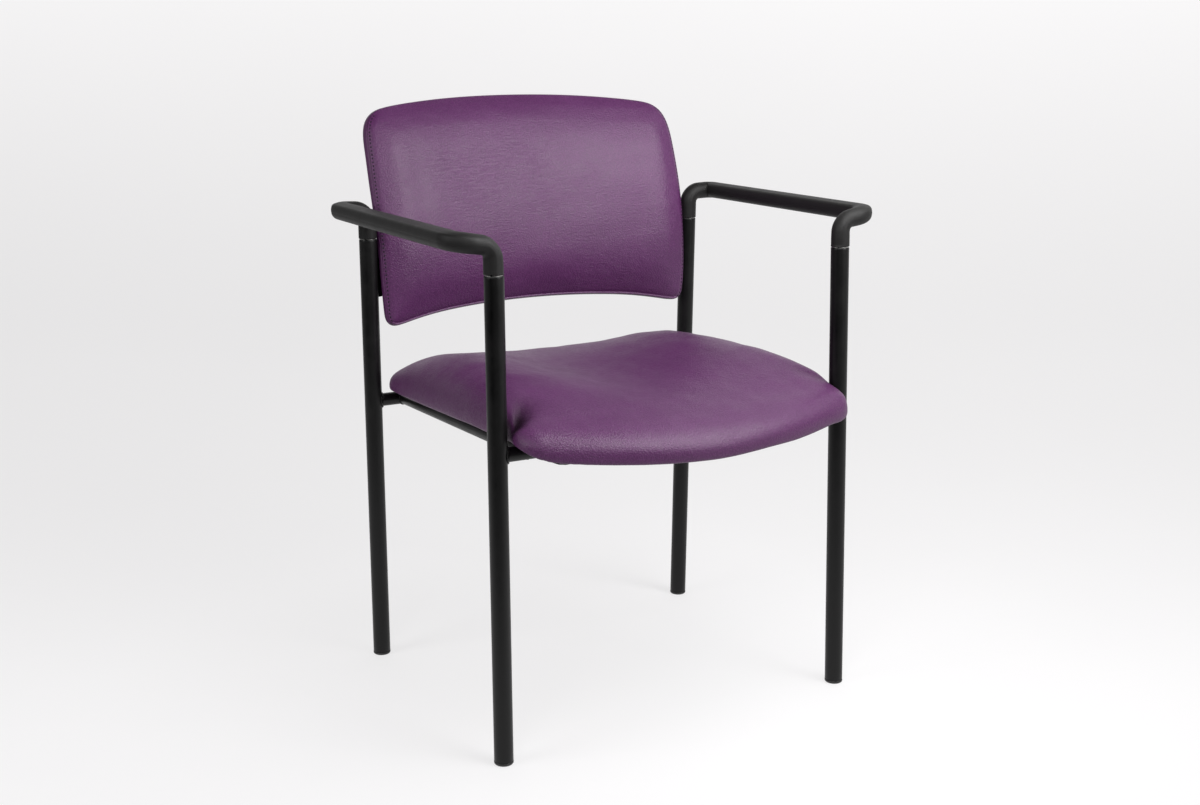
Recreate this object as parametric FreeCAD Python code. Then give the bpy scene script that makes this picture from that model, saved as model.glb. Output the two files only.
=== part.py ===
import FreeCAD, Part
import os
import math

V = FreeCAD.Vector

# ----------------------------------------------------------------------------
# Visitor armchair: welded tube frame, upholstered seat and back, moulded arms.
# Millimetres. +Z up, +X the chair's own left-hand side as the sitter's right is
# -X seen from the front, front of the chair towards -Y. Origin on the floor
# under the centre of the overall box.
# ----------------------------------------------------------------------------

# --- driving dimensions ------------------------------------------------------
Y_SHIFT = 8.7              # moves the measured chair so that its box is centred

LEG_OD = 25.4              # leg tube
LEG_WALL = 1.6
LEG_TOP_Z = 638.2          # square cut top of the legs
GLIDE_H = 4.5              # height of the glide cap under the tube
GLIDE_R = 12.9
GLIDE_PLUG = 28.0          # plug length inside the tube

FRONT_FOOT_X = 268.8       # foot positions
FRONT_FOOT_Y = -213.5
REAR_FOOT_X = 268.2
REAR_FOOT_Y = 213.5
FRONT_LEAN_X = -0.0064     # lean per millimetre of height (outboard, rearward)
FRONT_LEAN_Y = 0.0245
REAR_LEAN_X = 0.0058
REAR_LEAN_Y = -0.0152

RAIL_OD = 19.05            # seat rails
RAIL_WALL = 1.5
RAIL_X = 223.0
RAIL_REAR_Z = 399.3
RAIL_FRONT_Z = 411.8

ARM_CORE_OD = 22.0         # bent tube inside the arm, slides into the leg tube
ARM_CORE_WALL = 1.6
ARM_SPIGOT = 60.0          # length inside the leg
ARM_X = 313.0              # centre line of the grip
ARM_Z = 680.0
ARM_R_UP = 26.0            # bend from the leg outwards
ARM_R_SIDE = 15.0          # bend from outwards to along the grip
SLEEVE_R = 13.6            # moulded sleeve radius over the elbow
SLEEVE_Z = 639.4           # lower end of the sleeve
GRIP_W = 31.5              # flat topped grip section
GRIP_TOP_Z = 693.0
GRIP_BOTTOM_Z = 667.0

SEAT_BOARD_T = 12.0
SEAT_GAP = 4.0             # clearance between rail top and board
COVER_T = 1.5              # upholstery thickness
DUST_T = 0.8
BACK_BOARD_T = 11.8
BACK_DOME = 30.0           # foam height in the middle of the back
BACK_CONCAVE = 30.0        # sideways hollow of the back board

SCREW_R = 3.0              # M6
SCREW_HEAD_R = 6.0
SCREW_HEAD_H = 3.4
SEAT_SCREW_Y = (130.0, -130.0)
SEAT_HEAD_LOW = 2.4        # underside of the seat screw heads above the rail axis
BRACKET_T = 4.0
BRACKET_Z0 = 553.0
BRACKET_Z1 = 637.0
BACK_SCREW_Z = (575.0, 615.0)
BACK_SCREW_X = 212.0

parts = {}


# --- helpers -----------------------------------------------------------------
def leg_point(side, rear, z):
    if rear:
        return V(side * (REAR_FOOT_X + REAR_LEAN_X * z), REAR_FOOT_Y + REAR_LEAN_Y * z, z)
    return V(side * (FRONT_FOOT_X + FRONT_LEAN_X * z), FRONT_FOOT_Y + FRONT_LEAN_Y * z, z)


def rod(p0, p1, r):
    d = p1.sub(p0)
    return Part.makeCylinder(r, d.Length, p0, d)


def box(x0, y0, z0, x1, y1, z1):
    return Part.makeBox(x1 - x0, y1 - y0, z1 - z0, V(x0, y0, z0))


def leg_solid(side, rear, r, z0, z1):
    s = rod(leg_point(side, rear, z0 - 30), leg_point(side, rear, z1 + 30), r)
    return s.common(box(-500, -500, z0, 500, 500, z1))


def rounded_path(points, radii):
    """Wire of straight runs joined by tangent arcs."""
    edges = []
    start = points[0]
    for i in range(1, len(points) - 1):
        p = points[i]
        u = points[i - 1].sub(p)
        u.normalize()
        w = points[i + 1].sub(p)
        w.normalize()
        ang = u.getAngle(w)
        r = radii[i - 1]
        t = r / math.tan(ang / 2)
        a = p.add(V(u).multiply(t))
        b = p.add(V(w).multiply(t))
        bis = u.add(w)
        bis.normalize()
        c = p.add(V(bis).multiply(r / math.sin(ang / 2)))
        m = c.sub(V(bis).multiply(r))
        if a.sub(start).Length > 1e-6:
            edges.append(Part.LineSegment(start, a).toShape())
        edges.append(Part.Arc(a, m, b).toShape())
        start = b
    edges.append(Part.LineSegment(start, points[-1]).toShape())
    return Part.Wire(edges)


def pipe(path, r):
    first = path.Edges[0]
    p = first.valueAt(first.FirstParameter)
    t = first.tangentAt(first.FirstParameter)
    profile = Part.Wire([Part.makeCircle(r, p, t)])
    return path.makePipeShell([profile], True, False)


def curve(points):
    """Smooth curve whose knots sit at the same fractions in every section."""
    n = len(points)
    c = Part.BSplineCurve()
    c.interpolate(Points=points, Parameters=[0.5 - 0.5 * math.cos(math.pi * i / (n - 1.0)) for i in range(n)])
    return c.toShape()


def ring_wire(lower, upper):
    """Closed section: lower curve there, upper curve back, straight ends."""
    e1 = curve(lower)
    e2 = Part.LineSegment(lower[-1], upper[0]).toShape()
    e3 = curve(upper)
    e4 = Part.LineSegment(upper[-1], lower[0]).toShape()
    return Part.Wire([e1, e2, e3, e4])


def lerp(table, x):
    """Smooth (monotone cubic) reading of a table of pairs."""
    n = len(table)
    if x <= table[0][0]:
        return table[0][1]
    if x >= table[-1][0]:
        return table[-1][1]
    d = [(table[i + 1][1] - table[i][1]) / (table[i + 1][0] - table[i][0]) for i in range(n - 1)]
    m = [d[0]] + [0.0 if d[i - 1] * d[i] <= 0 else 2 * d[i - 1] * d[i] / (d[i - 1] + d[i]) for i in range(1, n - 1)] + [d[-1]]
    for i in range(n - 1):
        x0, y0 = table[i]
        x1, y1 = table[i + 1]
        if x0 <= x <= x1:
            h = x1 - x0
            t = (x - x0) / h
            return ((2 * t ** 3 - 3 * t ** 2 + 1) * y0 + (t ** 3 - 2 * t ** 2 + t) * h * m[i]
                    + (-2 * t ** 3 + 3 * t ** 2) * y1 + (t ** 3 - t ** 2) * h * m[i + 1])


def add(name, shape):
    shape = shape.copy()
    shape.translate(V(0, Y_SHIFT, 0))
    if shape.ShapeType == "Compound" and len(shape.Solids) == 1:
        shape = shape.Solids[0]
    parts[name] = shape


def group(shapes):
    return Part.makeCompound(shapes)


SIDES = ((-1, "left"), (1, "right"))

# --- legs and glides ---------------------------------------------------------
for side, sname in SIDES:
    for rear, rname in ((0, "front"), (1, "rear")):
        outer = leg_solid(side, rear, LEG_OD / 2, GLIDE_H, LEG_TOP_Z)
        inner = leg_solid(side, rear, LEG_OD / 2 - LEG_WALL, GLIDE_H - 10, LEG_TOP_Z + 10)
        add("%s_leg_%s" % (rname, sname), outer.cut(inner))
        foot = leg_point(side, rear, 0)
        cap = Part.makeCylinder(GLIDE_R, GLIDE_H, V(foot.x, foot.y, 0))
        low = [e for e in cap.Edges if len(e.Vertexes) == 1 and abs(e.CenterOfMass.z) < 0.1]
        cap = cap.makeFillet(2.6, low)
        plug = leg_solid(side, rear, LEG_OD / 2 - LEG_WALL - 0.15, GLIDE_H - 0.5, GLIDE_H + GLIDE_PLUG)
        add("foot_glide_%s_%s" % (rname, sname), cap.fuse(plug).removeSplitter())

# --- seat rails --------------------------------------------------------------
def cross_rail(rear):
    z = RAIL_REAR_Z if rear else RAIL_FRONT_Z
    a = leg_point(-1, rear, z)
    b = leg_point(1, rear, z)
    s = rod(a, b, RAIL_OD / 2).cut(rod(a, b, RAIL_OD / 2 - RAIL_WALL))
    for side in (-1, 1):
        s = s.cut(leg_solid(side, rear, LEG_OD / 2 + 0.02, z - 60, z + 60))
    return s, a, b


rear_rail, ra, rb = cross_rail(1)
front_rail, fa, fb = cross_rail(0)
RAIL_Y_REAR = ra.y
RAIL_Y_FRONT = fa.y


def rail_z(y):
    """Height of the side rail's centre line."""
    return RAIL_REAR_Z + (RAIL_Y_REAR - y) / (RAIL_Y_REAR - RAIL_Y_FRONT) * (RAIL_FRONT_Z - RAIL_REAR_Z)


RAIL_TILT = math.atan((RAIL_FRONT_Z - RAIL_REAR_Z) / (RAIL_Y_REAR - RAIL_Y_FRONT))


def tilted(r, h0, h1, x, y):
    """Cylinder square to the side rail, between two distances from its centre line."""
    st, ct = math.sin(RAIL_TILT), math.cos(RAIL_TILT)
    return Part.makeCylinder(r, h1 - h0, V(x, y + h0 * st, rail_z(y) + h0 * ct), V(0, st, ct))


def board_bottom(y):
    """Underside of the seat board: parallel to the rails, rolled down at the front."""
    z = rail_z(y) + RAIL_OD / 2 / math.cos(RAIL_TILT) + SEAT_GAP
    if y < -215:
        z -= 26.0 * ((-215 - y) / 107.0) ** 1.25
    return z


for side, sname in SIDES:
    p0 = V(side * RAIL_X, RAIL_Y_REAR, RAIL_REAR_Z)
    p1 = V(side * RAIL_X, RAIL_Y_FRONT, RAIL_FRONT_Z)
    s = rod(p0, p1, RAIL_OD / 2).cut(rod(p0, p1, RAIL_OD / 2 - RAIL_WALL))
    s = s.cut(rod(ra, rb, RAIL_OD / 2 + 0.02)).cut(rod(fa, fb, RAIL_OD / 2 + 0.02))
    for y in SEAT_SCREW_Y:
        # clearance hole in the upper wall, key access in the lower wall
        s = s.cut(tilted(SCREW_R + 0.25, 0, 30, side * RAIL_X, y))
        s = s.cut(tilted(SCREW_HEAD_R + 0.6, -30, 0, side * RAIL_X, y))
    add("side_rail_%s" % sname, s)
add("rear_cross_rail", rear_rail)
add("front_cross_rail", front_rail)

# --- arms --------------------------------------------------------------------
for side, sname in SIDES:
    pts = [leg_point(side, 0, LEG_TOP_Z - ARM_SPIGOT), leg_point(side, 0, ARM_Z)]
    pts.append(V(side * ARM_X, pts[1].y, ARM_Z))
    q = leg_point(side, 1, ARM_Z)
    pts.append(V(side * ARM_X, q.y, ARM_Z))
    pts.append(q)
    pts.append(leg_point(side, 1, LEG_TOP_Z - ARM_SPIGOT))
    radii = [ARM_R_UP, ARM_R_SIDE, ARM_R_SIDE, ARM_R_UP]
    path = rounded_path(pts, radii)
    core_out = pipe(path, ARM_CORE_OD / 2)
    core_in = pipe(path, ARM_CORE_OD / 2 - ARM_CORE_WALL)
    add("arm_core_%s" % sname, core_out.cut(core_in))

    cpts = list(pts)
    cpts[0] = leg_point(side, 0, SLEEVE_Z)
    cpts[-1] = leg_point(side, 1, SLEEVE_Z)
    sleeve = pipe(rounded_path(cpts, radii), SLEEVE_R)
    # flat topped grip: section in XZ, drawn out along Y
    y0 = pts[2].y + ARM_R_SIDE
    y1 = pts[3].y - ARM_R_SIDE
    hw = GRIP_W / 2
    grip = box(side * ARM_X - hw, y0, GRIP_BOTTOM_Z, side * ARM_X + hw, y1, GRIP_TOP_Z)
    along = [e for e in grip.Edges if e.Length > 200]
    top_edges = [e for e in along if e.CenterOfMass.z > ARM_Z]
    low_edges = [e for e in along if e.CenterOfMass.z < ARM_Z]
    grip = grip.makeFillet(4.0, top_edges)
    low_edges = [e for e in grip.Edges if e.Length > 200 and abs(e.CenterOfMass.z - GRIP_BOTTOM_Z) < 0.01
                 and abs(abs(e.CenterOfMass.x - side * ARM_X) - hw) < 0.01]
    grip = grip.makeFillet(10.0, low_edges)
    cover = sleeve.fuse(grip).cut(pipe(path, ARM_CORE_OD / 2 + 0.05))
    add("armrest_cover_%s" % sname, cover)

# --- seat --------------------------------------------------------------------
SEAT_X = (-250.0, -238.0, -213.0, -165.0, -90.0, 0.0, 90.0, 165.0, 213.0, 238.0, 250.0)
SEAT_REAR = ((0, 205), (90, 204), (165, 200), (213, 189), (238, 168), (250, 142), (256, 120))
SEAT_FRONT = ((0, -321.5), (90, -313), (165, -290), (213, -263), (238, -243), (250, -232), (256, -228))
SEAT_BASE = ((-325, 421), (-305, 436), (-270, 447), (-225, 452.5), (-160, 455), (-80, 455), (0, 456), (80, 459),
             (140, 463.5), (170, 464), (190, 458), (205, 444))
SEAT_SIDE = ((-300, 0), (-238, 1), (-168, 9), (-70, 16), (60, 12), (150, 6), (205, 4))


def seat_top(x, y):
    t = abs(x)
    z = lerp(SEAT_BASE, y) + lerp(SEAT_SIDE, y) * min(1.0, t / 215.0) ** 3
    if t > 205:
        z -= 30.0 * ((t - 205) / 45.0) ** 2
    return z


def seat_layer(lower, upper, inset):
    """Loft across the seat between two surfaces, its outline drawn in by inset."""
    wires = []
    for x in SEAT_X:
        xx = x * (1 - inset / 250.0)
        yr = lerp(SEAT_REAR, abs(x)) - inset
        yf = lerp(SEAT_FRONT, abs(x)) + inset
        n = 9
        low = []
        up = []
        for i in range(n):
            f = 0.5 - 0.5 * math.cos(math.pi * i / (n - 1.0))
            y = yr + (yf - yr) * f
            low.append(V(xx, y, lower(x, y)))
        for i in range(n):
            # closer points at both ends, where the crown turns down
            f = 0.5 - 0.5 * math.cos(math.pi * i / (n - 1.0))
            y = yf + (yr - yf) * f
            up.append(V(xx, y, upper(x, y, yr, yf)))
        wires.append(ring_wire(low, up))
    return Part.makeLoft(wires, True, False)


def crown(x, y, yr, yf, drop):
    """Seat top with its front and rear edges rolled down."""
    z = seat_top(x, y)
    e = min(yr - y, y - yf)
    if e < 26:
        z -= 14.0 * (1 - e / 26.0) ** 2
    return max(z - drop, board_bottom(y) + SEAT_BOARD_T - 2.0)


outer_seat = seat_layer(lambda x, y: board_bottom(y) - COVER_T, lambda x, y, a, b: crown(x, y, a, b, 0), 0)
inner_seat = seat_layer(lambda x, y: board_bottom(y) - 0.05, lambda x, y, a, b: crown(x, y, a, b, COVER_T), COVER_T)
board = seat_layer(lambda x, y: board_bottom(y), lambda x, y, a, b: board_bottom(y) + SEAT_BOARD_T - 4.0, COVER_T + 0.2)
foam = seat_layer(lambda x, y: board_bottom(y) + SEAT_BOARD_T - 3.5, lambda x, y, a, b: crown(x, y, a, b, COVER_T + 0.2), COVER_T + 0.2)

# recesses round the front legs
notches = []
for side in (-1, 1):
    notches.append(leg_solid(side, 0, LEG_OD / 2 + 5.0, 360, 520))
for n in notches:
    board = board.cut(n)
    foam = foam.cut(n)
    inner_seat = inner_seat.cut(n)
notch_skin = []
for side in (-1, 1):
    notch_skin.append(leg_solid(side, 0, LEG_OD / 2 + 3.2, 360, 520))
for n in notch_skin:
    outer_seat = outer_seat.cut(n)
cover = outer_seat.cut(inner_seat)

# the cover is turned under the board and leaves the middle of the underside open
pts = []
for i in range(40):
    a = 2 * math.pi * i / 40.0
    ca, sa = math.cos(a), math.sin(a)
    k = (abs(ca) ** 3.2 + abs(sa) ** 3.2) ** (-1 / 3.2)
    pts.append(V(208 * ca * k, -48 + 222 * sa * k, 0))
c = Part.BSplineCurve()
c.interpolate(pts, True)
opening_face = Part.Face(Part.Wire([c.toShape()]))
opening = opening_face.copy()
opening.translate(V(0, 0, 370))
opening = opening.extrude(V(0, 0, 90))
lower_half = seat_layer(lambda x, y: board_bottom(y) - 40.0, lambda x, y, a, b: board_bottom(y) + 2.0, -4.0)
cover = cover.cut(opening.common(lower_half))

# dust cover: thin sheet under the board, clear of the rails' washers
sheet_pts = []
for i in range(40):
    a = 2 * math.pi * i / 40.0
    ca, sa = math.cos(a), math.sin(a)
    k = (abs(ca) ** 3.4 + abs(sa) ** 3.4) ** (-1 / 3.4)
    sheet_pts.append(V(226 * ca * k, -46 + 236 * sa * k, 0))
c = Part.BSplineCurve()
c.interpolate(sheet_pts, True)
sheet_prism = Part.Face(Part.Wire([c.toShape()])).extrude(V(0, 0, 90))
sheet_prism.translate(V(0, 0, 370))
dust = seat_layer(lambda x, y: board_bottom(y) - COVER_T - 0.3 - DUST_T, lambda x, y, a, b: board_bottom(y) - COVER_T - 0.3, 0).common(sheet_prism)

# fastenings: screw with its head inside the rail, saddle washer, tee nut in the board
screws = []
nuts = []
washers = []
D_BOARD = RAIL_OD / 2 + SEAT_GAP * math.cos(RAIL_TILT)
for side in (-1, 1):
    x = side * RAIL_X
    rail_rod = rod(V(x, RAIL_Y_REAR, RAIL_REAR_Z), V(x, RAIL_Y_FRONT, RAIL_FRONT_Z), RAIL_OD / 2 + 0.02)
    rail_bore = rod(V(x, RAIL_Y_REAR, RAIL_REAR_Z), V(x, RAIL_Y_FRONT, RAIL_FRONT_Z), RAIL_OD / 2 - RAIL_WALL - 0.02)
    for y in SEAT_SCREW_Y:
        h_low = SEAT_HEAD_LOW
        head = tilted(SCREW_HEAD_R, h_low, RAIL_OD / 2, x, y).common(rail_bore)
        shank = tilted(SCREW_R, h_low, D_BOARD + 7.6, x, y)
        socket = tilted(1.9, h_low - 1.0, h_low + 1.8, x, y)
        screws.append(head.fuse(shank).cut(socket).removeSplitter())
        wash = tilted(8.0, 0, D_BOARD - 0.03, x, y).cut(rail_rod).cut(tilted(SCREW_R + 0.25, -5, 30, x, y))
        washers.append(max(wash.Solids, key=lambda q: q.CenterOfMass.z))
        nut = tilted(4.4, D_BOARD + 0.2, D_BOARD + 7.4, x, y).cut(tilted(SCREW_R + 0.05, -5, 40, x, y))
        nuts.append(nut)
        board = board.cut(tilted(4.5, D_BOARD - 5, D_BOARD + 30, x, y))
        cover = cover.cut(tilted(9.0, D_BOARD - 20, D_BOARD + 1.0, x, y))
        dust = dust.cut(tilted(9.0, D_BOARD - 20, D_BOARD + 5, x, y))
add("seat_board", board)
add("seat_foam", foam)
add("seat_cover", cover)
add("seat_dust_cover", dust)
add("seat_screws", group(screws))
add("seat_tee_nuts", group(nuts))
add("seat_washers", group(washers))

# --- back --------------------------------------------------------------------
BACK_X = (-256.0, -250.0, -236.0, -212.0, -165.0, -90.0, 0.0, 90.0, 165.0, 212.0, 236.0, 250.0, 256.0)
BACK_LOW = ((0, 530.5), (90, 528.3), (165, 522.5), (212, 516), (236, 515.5), (250, 522), (256, 530))
BACK_HIGH = ((0, 834.5), (90, 832.4), (165, 827.3), (212, 821), (236, 811.5), (250, 800), (256, 792))
BACK_EDGE_Y = ((505, 186), (530, 186.2), (560, 187.2), (600, 190.3), (640, 195.6), (680, 204.2), (720, 215.5),
               (760, 228.8), (800, 244), (840, 261))


def back_face(x, z):
    """Front of the back board."""
    return lerp(BACK_EDGE_Y, z) + BACK_CONCAVE * (1 - (x / 252.0) ** 2)


def back_dome(x, z, z0, z1):
    u = min(1.0, abs(x) / 256.0)
    w = abs(2 * (z - z0) / (z1 - z0) - 1)
    return BACK_DOME * (1 - u ** 4) * (1 - w ** 4)


def back_layer(front, rear, inset):
    wires = []
    for x in BACK_X:
        xx = x * (1 - inset / 256.0)
        z0 = lerp(BACK_LOW, abs(x)) + inset
        z1 = lerp(BACK_HIGH, abs(x)) - inset
        n = 9
        a = []
        b = []
        for i in range(n):
            f = 0.5 - 0.5 * math.cos(math.pi * i / (n - 1.0))
            z = z0 + (z1 - z0) * f
            a.append(V(xx, front(x, z, z0, z1), z))
        for i in range(n):
            f = 0.5 - 0.5 * math.cos(math.pi * i / (n - 1.0))
            z = z1 + (z0 - z1) * f
            b.append(V(xx, rear(x, z, z0, z1), z))
        wires.append(ring_wire(a, b))
    return Part.makeLoft(wires, True, False)


FOAM_FRONT = COVER_T + 0.1
bt = COVER_T + 0.6
back_board = back_layer(lambda x, z, a, b: back_face(x, z) + bt, lambda x, z, a, b: back_face(x, z) + bt + BACK_BOARD_T, COVER_T + 0.2)
back_foam = back_layer(lambda x, z, a, b: back_face(x, z) + FOAM_FRONT - back_dome(x, z, a, b),
                       lambda x, z, a, b: back_face(x, z) + bt - 0.4, COVER_T + 0.2)
shell_out = back_layer(lambda x, z, a, b: back_face(x, z) - back_dome(x, z, a, b),
                       lambda x, z, a, b: back_face(x, z) + bt + BACK_BOARD_T, 0)
shell_in = back_layer(lambda x, z, a, b: back_face(x, z) + COVER_T - back_dome(x, z, a, b),
                      lambda x, z, a, b: back_face(x, z) + bt + BACK_BOARD_T + 12.0, COVER_T)
back_front = shell_out.cut(shell_in)
back_rear = back_layer(lambda x, z, a, b: back_face(x, z) + bt + BACK_BOARD_T + 0.05,
                       lambda x, z, a, b: back_face(x, z) + bt + BACK_BOARD_T + 0.05 + COVER_T, 0)

# brackets: flat bar from the rear leg inwards behind the back board
back_screws = []
back_nuts = []
for side, sname in SIDES:
    zc = 0.5 * (BRACKET_Z0 + BRACKET_Z1)
    rear_skin = bt + BACK_BOARD_T + 0.05 + COVER_T
    # plane that just clears the rear of the back between its screw line and the leg
    xa, xb = 192.0, 252.0
    ya = max(back_face(xa, z) + rear_skin - 0.0 for z in (BRACKET_Z0, zc, BRACKET_Z1))
    samples = []
    for x in (xa, 0.5 * (xa + xb), xb):
        for z in (BRACKET_Z0, zc, BRACKET_Z1):
            samples.append((x, z, back_face(x, z) + rear_skin))
    gx = (back_face(xb, zc) - back_face(xa, zc)) / (xb - xa)
    gz = (back_face(222, BRACKET_Z1) - back_face(222, BRACKET_Z0)) / (BRACKET_Z1 - BRACKET_Z0)
    c0 = max(y - gx * x - gz * z for x, z, y in samples) + 0.3

    def plane(x, z):
        return c0 + gx * abs(x) + gz * z

    def plate_pt(x, z, t):
        return V(side * x, plane(x, z) + t, z)

    x_in, x_out = 190.0, 268.0
    corners = [(x_in, BRACKET_Z0 + 6), (x_in, BRACKET_Z1 - 6), (x_out, BRACKET_Z1), (x_out, BRACKET_Z0)]
    f = [plate_pt(x, z, 0) for x, z in corners]
    face = Part.Face(Part.makePolygon(f + [f[0]]))
    plate = face.extrude(V(0, BRACKET_T, 0))
    plate = plate.cut(leg_solid(side, 1, LEG_OD / 2 + 0.02, 500, 700))
    if len(plate.Solids) > 1:
        plate = min(plate.Solids, key=lambda s: abs(s.CenterOfMass.x))
    n = V(-side * gx, 1.0, -gz)
    n.normalize()
    for z in BACK_SCREW_Z:
        p = V(side * BACK_SCREW_X, plane(BACK_SCREW_X, z) + BRACKET_T, z)
        a = p.sub(V(n).multiply(60))
        plate = plate.cut(Part.makeCylinder(SCREW_R + 0.25, 120, a, n))
        head = Part.makeCylinder(SCREW_HEAD_R, SCREW_HEAD_H, p.add(V(n).multiply(0.02)), n)
        crown_edges = [e for e in head.Edges if len(e.Vertexes) == 1 and
                       abs((e.CenterOfMass.sub(p)).dot(n) - SCREW_HEAD_H - 0.02) < 0.01]
        head = head.makeFillet(1.4, crown_edges)
        depth = BRACKET_T + 0.6 + COVER_T + BACK_BOARD_T * 0.85
        tip = p.sub(V(n).multiply(depth))
        shank = Part.makeCylinder(SCREW_R, depth + 0.5, tip, n)
        sock = Part.makeCylinder(1.9, 3.0, p.add(V(n).multiply(SCREW_HEAD_H - 1.7)), n)
        back_screws.append(head.fuse(shank).cut(sock).removeSplitter())
        nut_start = p.sub(V(n).multiply(BRACKET_T + 0.6 + COVER_T + BACK_BOARD_T * 0.9))
        nut = Part.makeCylinder(4.4, BACK_BOARD_T * 0.8, nut_start, n).cut(Part.makeCylinder(SCREW_R + 0.05, 60, p.sub(V(n).multiply(40)), n))
        back_nuts.append(nut)
        back_board = back_board.cut(Part.makeCylinder(4.5, 36, p.sub(V(n).multiply(36 - 2)), n))
        back_rear = back_rear.cut(Part.makeCylinder(4.5, 60, p.sub(V(n).multiply(30)), n))
        back_foam = back_foam.cut(Part.makeCylinder(4.5, BRACKET_T + 3 + COVER_T + BACK_BOARD_T, p.sub(V(n).multiply(BRACKET_T + 3 + COVER_T + BACK_BOARD_T)), n))
    add("back_bracket_%s" % sname, plate)
add("back_board", back_board)
add("back_foam", back_foam)
add("back_cover_front", back_front)
add("back_cover_rear", back_rear)
add("back_screws", group(back_screws))
add("back_tee_nuts", group(back_nuts))

# --- write -------------------------------------------------------------------
os.makedirs("parts", exist_ok=True)
total = FreeCAD.BoundBox()
for name in sorted(parts):
    shape = parts[name]
    ok = shape.isValid()
    bb = shape.optimalBoundingBox(True, False)
    total.add(bb)
    print("%-24s %-10s solids %d valid %s vol %.1f  x %.1f %.1f y %.1f %.1f z %.1f %.1f" % (
        name, shape.ShapeType, len(shape.Solids), ok, shape.Volume / 1000.0,
        bb.XMin, bb.XMax, bb.YMin, bb.YMax, bb.ZMin, bb.ZMax))
    shape.exportStep("parts/%s.step" % name)
print("overall x %.2f %.2f y %.2f %.2f z %.2f %.2f" % (total.XMin, total.XMax, total.YMin, total.YMax, total.ZMin, total.ZMax))
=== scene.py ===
import bpy
import bmesh
import math
import numpy as np
from mathutils import Matrix, Vector


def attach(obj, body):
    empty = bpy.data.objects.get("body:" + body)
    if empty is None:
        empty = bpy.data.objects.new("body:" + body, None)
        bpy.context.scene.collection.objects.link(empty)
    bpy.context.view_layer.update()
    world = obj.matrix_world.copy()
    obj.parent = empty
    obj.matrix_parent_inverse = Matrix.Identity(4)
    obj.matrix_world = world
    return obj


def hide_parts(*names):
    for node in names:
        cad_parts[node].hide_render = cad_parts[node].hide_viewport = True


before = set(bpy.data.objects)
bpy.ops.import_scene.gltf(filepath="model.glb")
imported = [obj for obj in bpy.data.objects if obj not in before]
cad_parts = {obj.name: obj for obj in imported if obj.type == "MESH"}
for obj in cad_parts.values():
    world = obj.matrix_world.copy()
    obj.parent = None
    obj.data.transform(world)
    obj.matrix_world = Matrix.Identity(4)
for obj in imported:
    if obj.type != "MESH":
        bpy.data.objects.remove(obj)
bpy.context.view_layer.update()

# Shapes below are written in millimetres, with y measured from midway between the
# feet; to_row() brings them into the shared frame in metres.
Y_SHIFT = 8.7


def to_row(p):
    q = np.array(p, float)
    q[..., 1] += Y_SHIFT
    return q * 0.001


# ------------------------------------------------------------------ small maths
def pchip(table, x):
    """Smooth reading of a table of pairs that never overshoots."""
    t = np.array(table, float)
    X, Y = t[:, 0], t[:, 1]
    h = np.diff(X)
    d = np.diff(Y) / h
    m = np.empty_like(X)
    m[0], m[-1] = d[0], d[-1]
    p = d[:-1] * d[1:]
    s = d[:-1] + d[1:]
    m[1:-1] = np.where(p > 0, 2 * p / np.where(np.abs(s) < 1e-12, 1, s), 0)
    x = np.clip(np.asarray(x, float), X[0], X[-1])
    i = np.clip(np.searchsorted(X, x) - 1, 0, len(h) - 1)
    u = (x - X[i]) / h[i]
    return ((2 * u ** 3 - 3 * u ** 2 + 1) * Y[i] + (u ** 3 - 2 * u ** 2 + u) * h[i] * m[i]
            + (-2 * u ** 3 + 3 * u ** 2) * Y[i + 1] + (u ** 3 - u ** 2) * h[i] * m[i + 1])


def closed_spline(q, per):
    """Dense points on the closed C2 curve through the rows of q."""
    n = len(q)
    h = np.linalg.norm(np.roll(q, -1, 0)[:, :2] - q[:, :2], axis=1)
    A = np.zeros((n, n))
    r = np.zeros_like(q)
    for i in range(n):
        a, b = h[i - 1], h[i]
        A[i, i - 1] += a
        A[i, i] += 2 * (a + b)
        A[i, (i + 1) % n] += b
        r[i] = 6 * ((q[(i + 1) % n] - q[i]) / b - (q[i] - q[i - 1]) / a)
    M = np.linalg.solve(A, r)
    out = []
    u = np.arange(per) / per
    for i in range(n):
        j = (i + 1) % n
        b = h[i]
        s = (u * b)[:, None]
        w = b - s
        out.append(M[i] * w ** 3 / (6 * b) + M[j] * s ** 3 / (6 * b)
                   + (q[i] / b - M[i] * b / 6) * w + (q[j] / b - M[j] * b / 6) * s)
    return np.vstack(out)


def gauss_loop(a, sigma):
    """Gaussian smoothing along a closed loop, sigma in samples."""
    k = int(math.ceil(3 * sigma))
    w = np.exp(-0.5 * (np.arange(-k, k + 1) / sigma) ** 2)
    w /= w.sum()
    out = np.zeros_like(a, dtype=float)
    for i, c in zip(range(-k, k + 1), w):
        out += c * np.roll(a, -i, 0)
    return out


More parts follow.
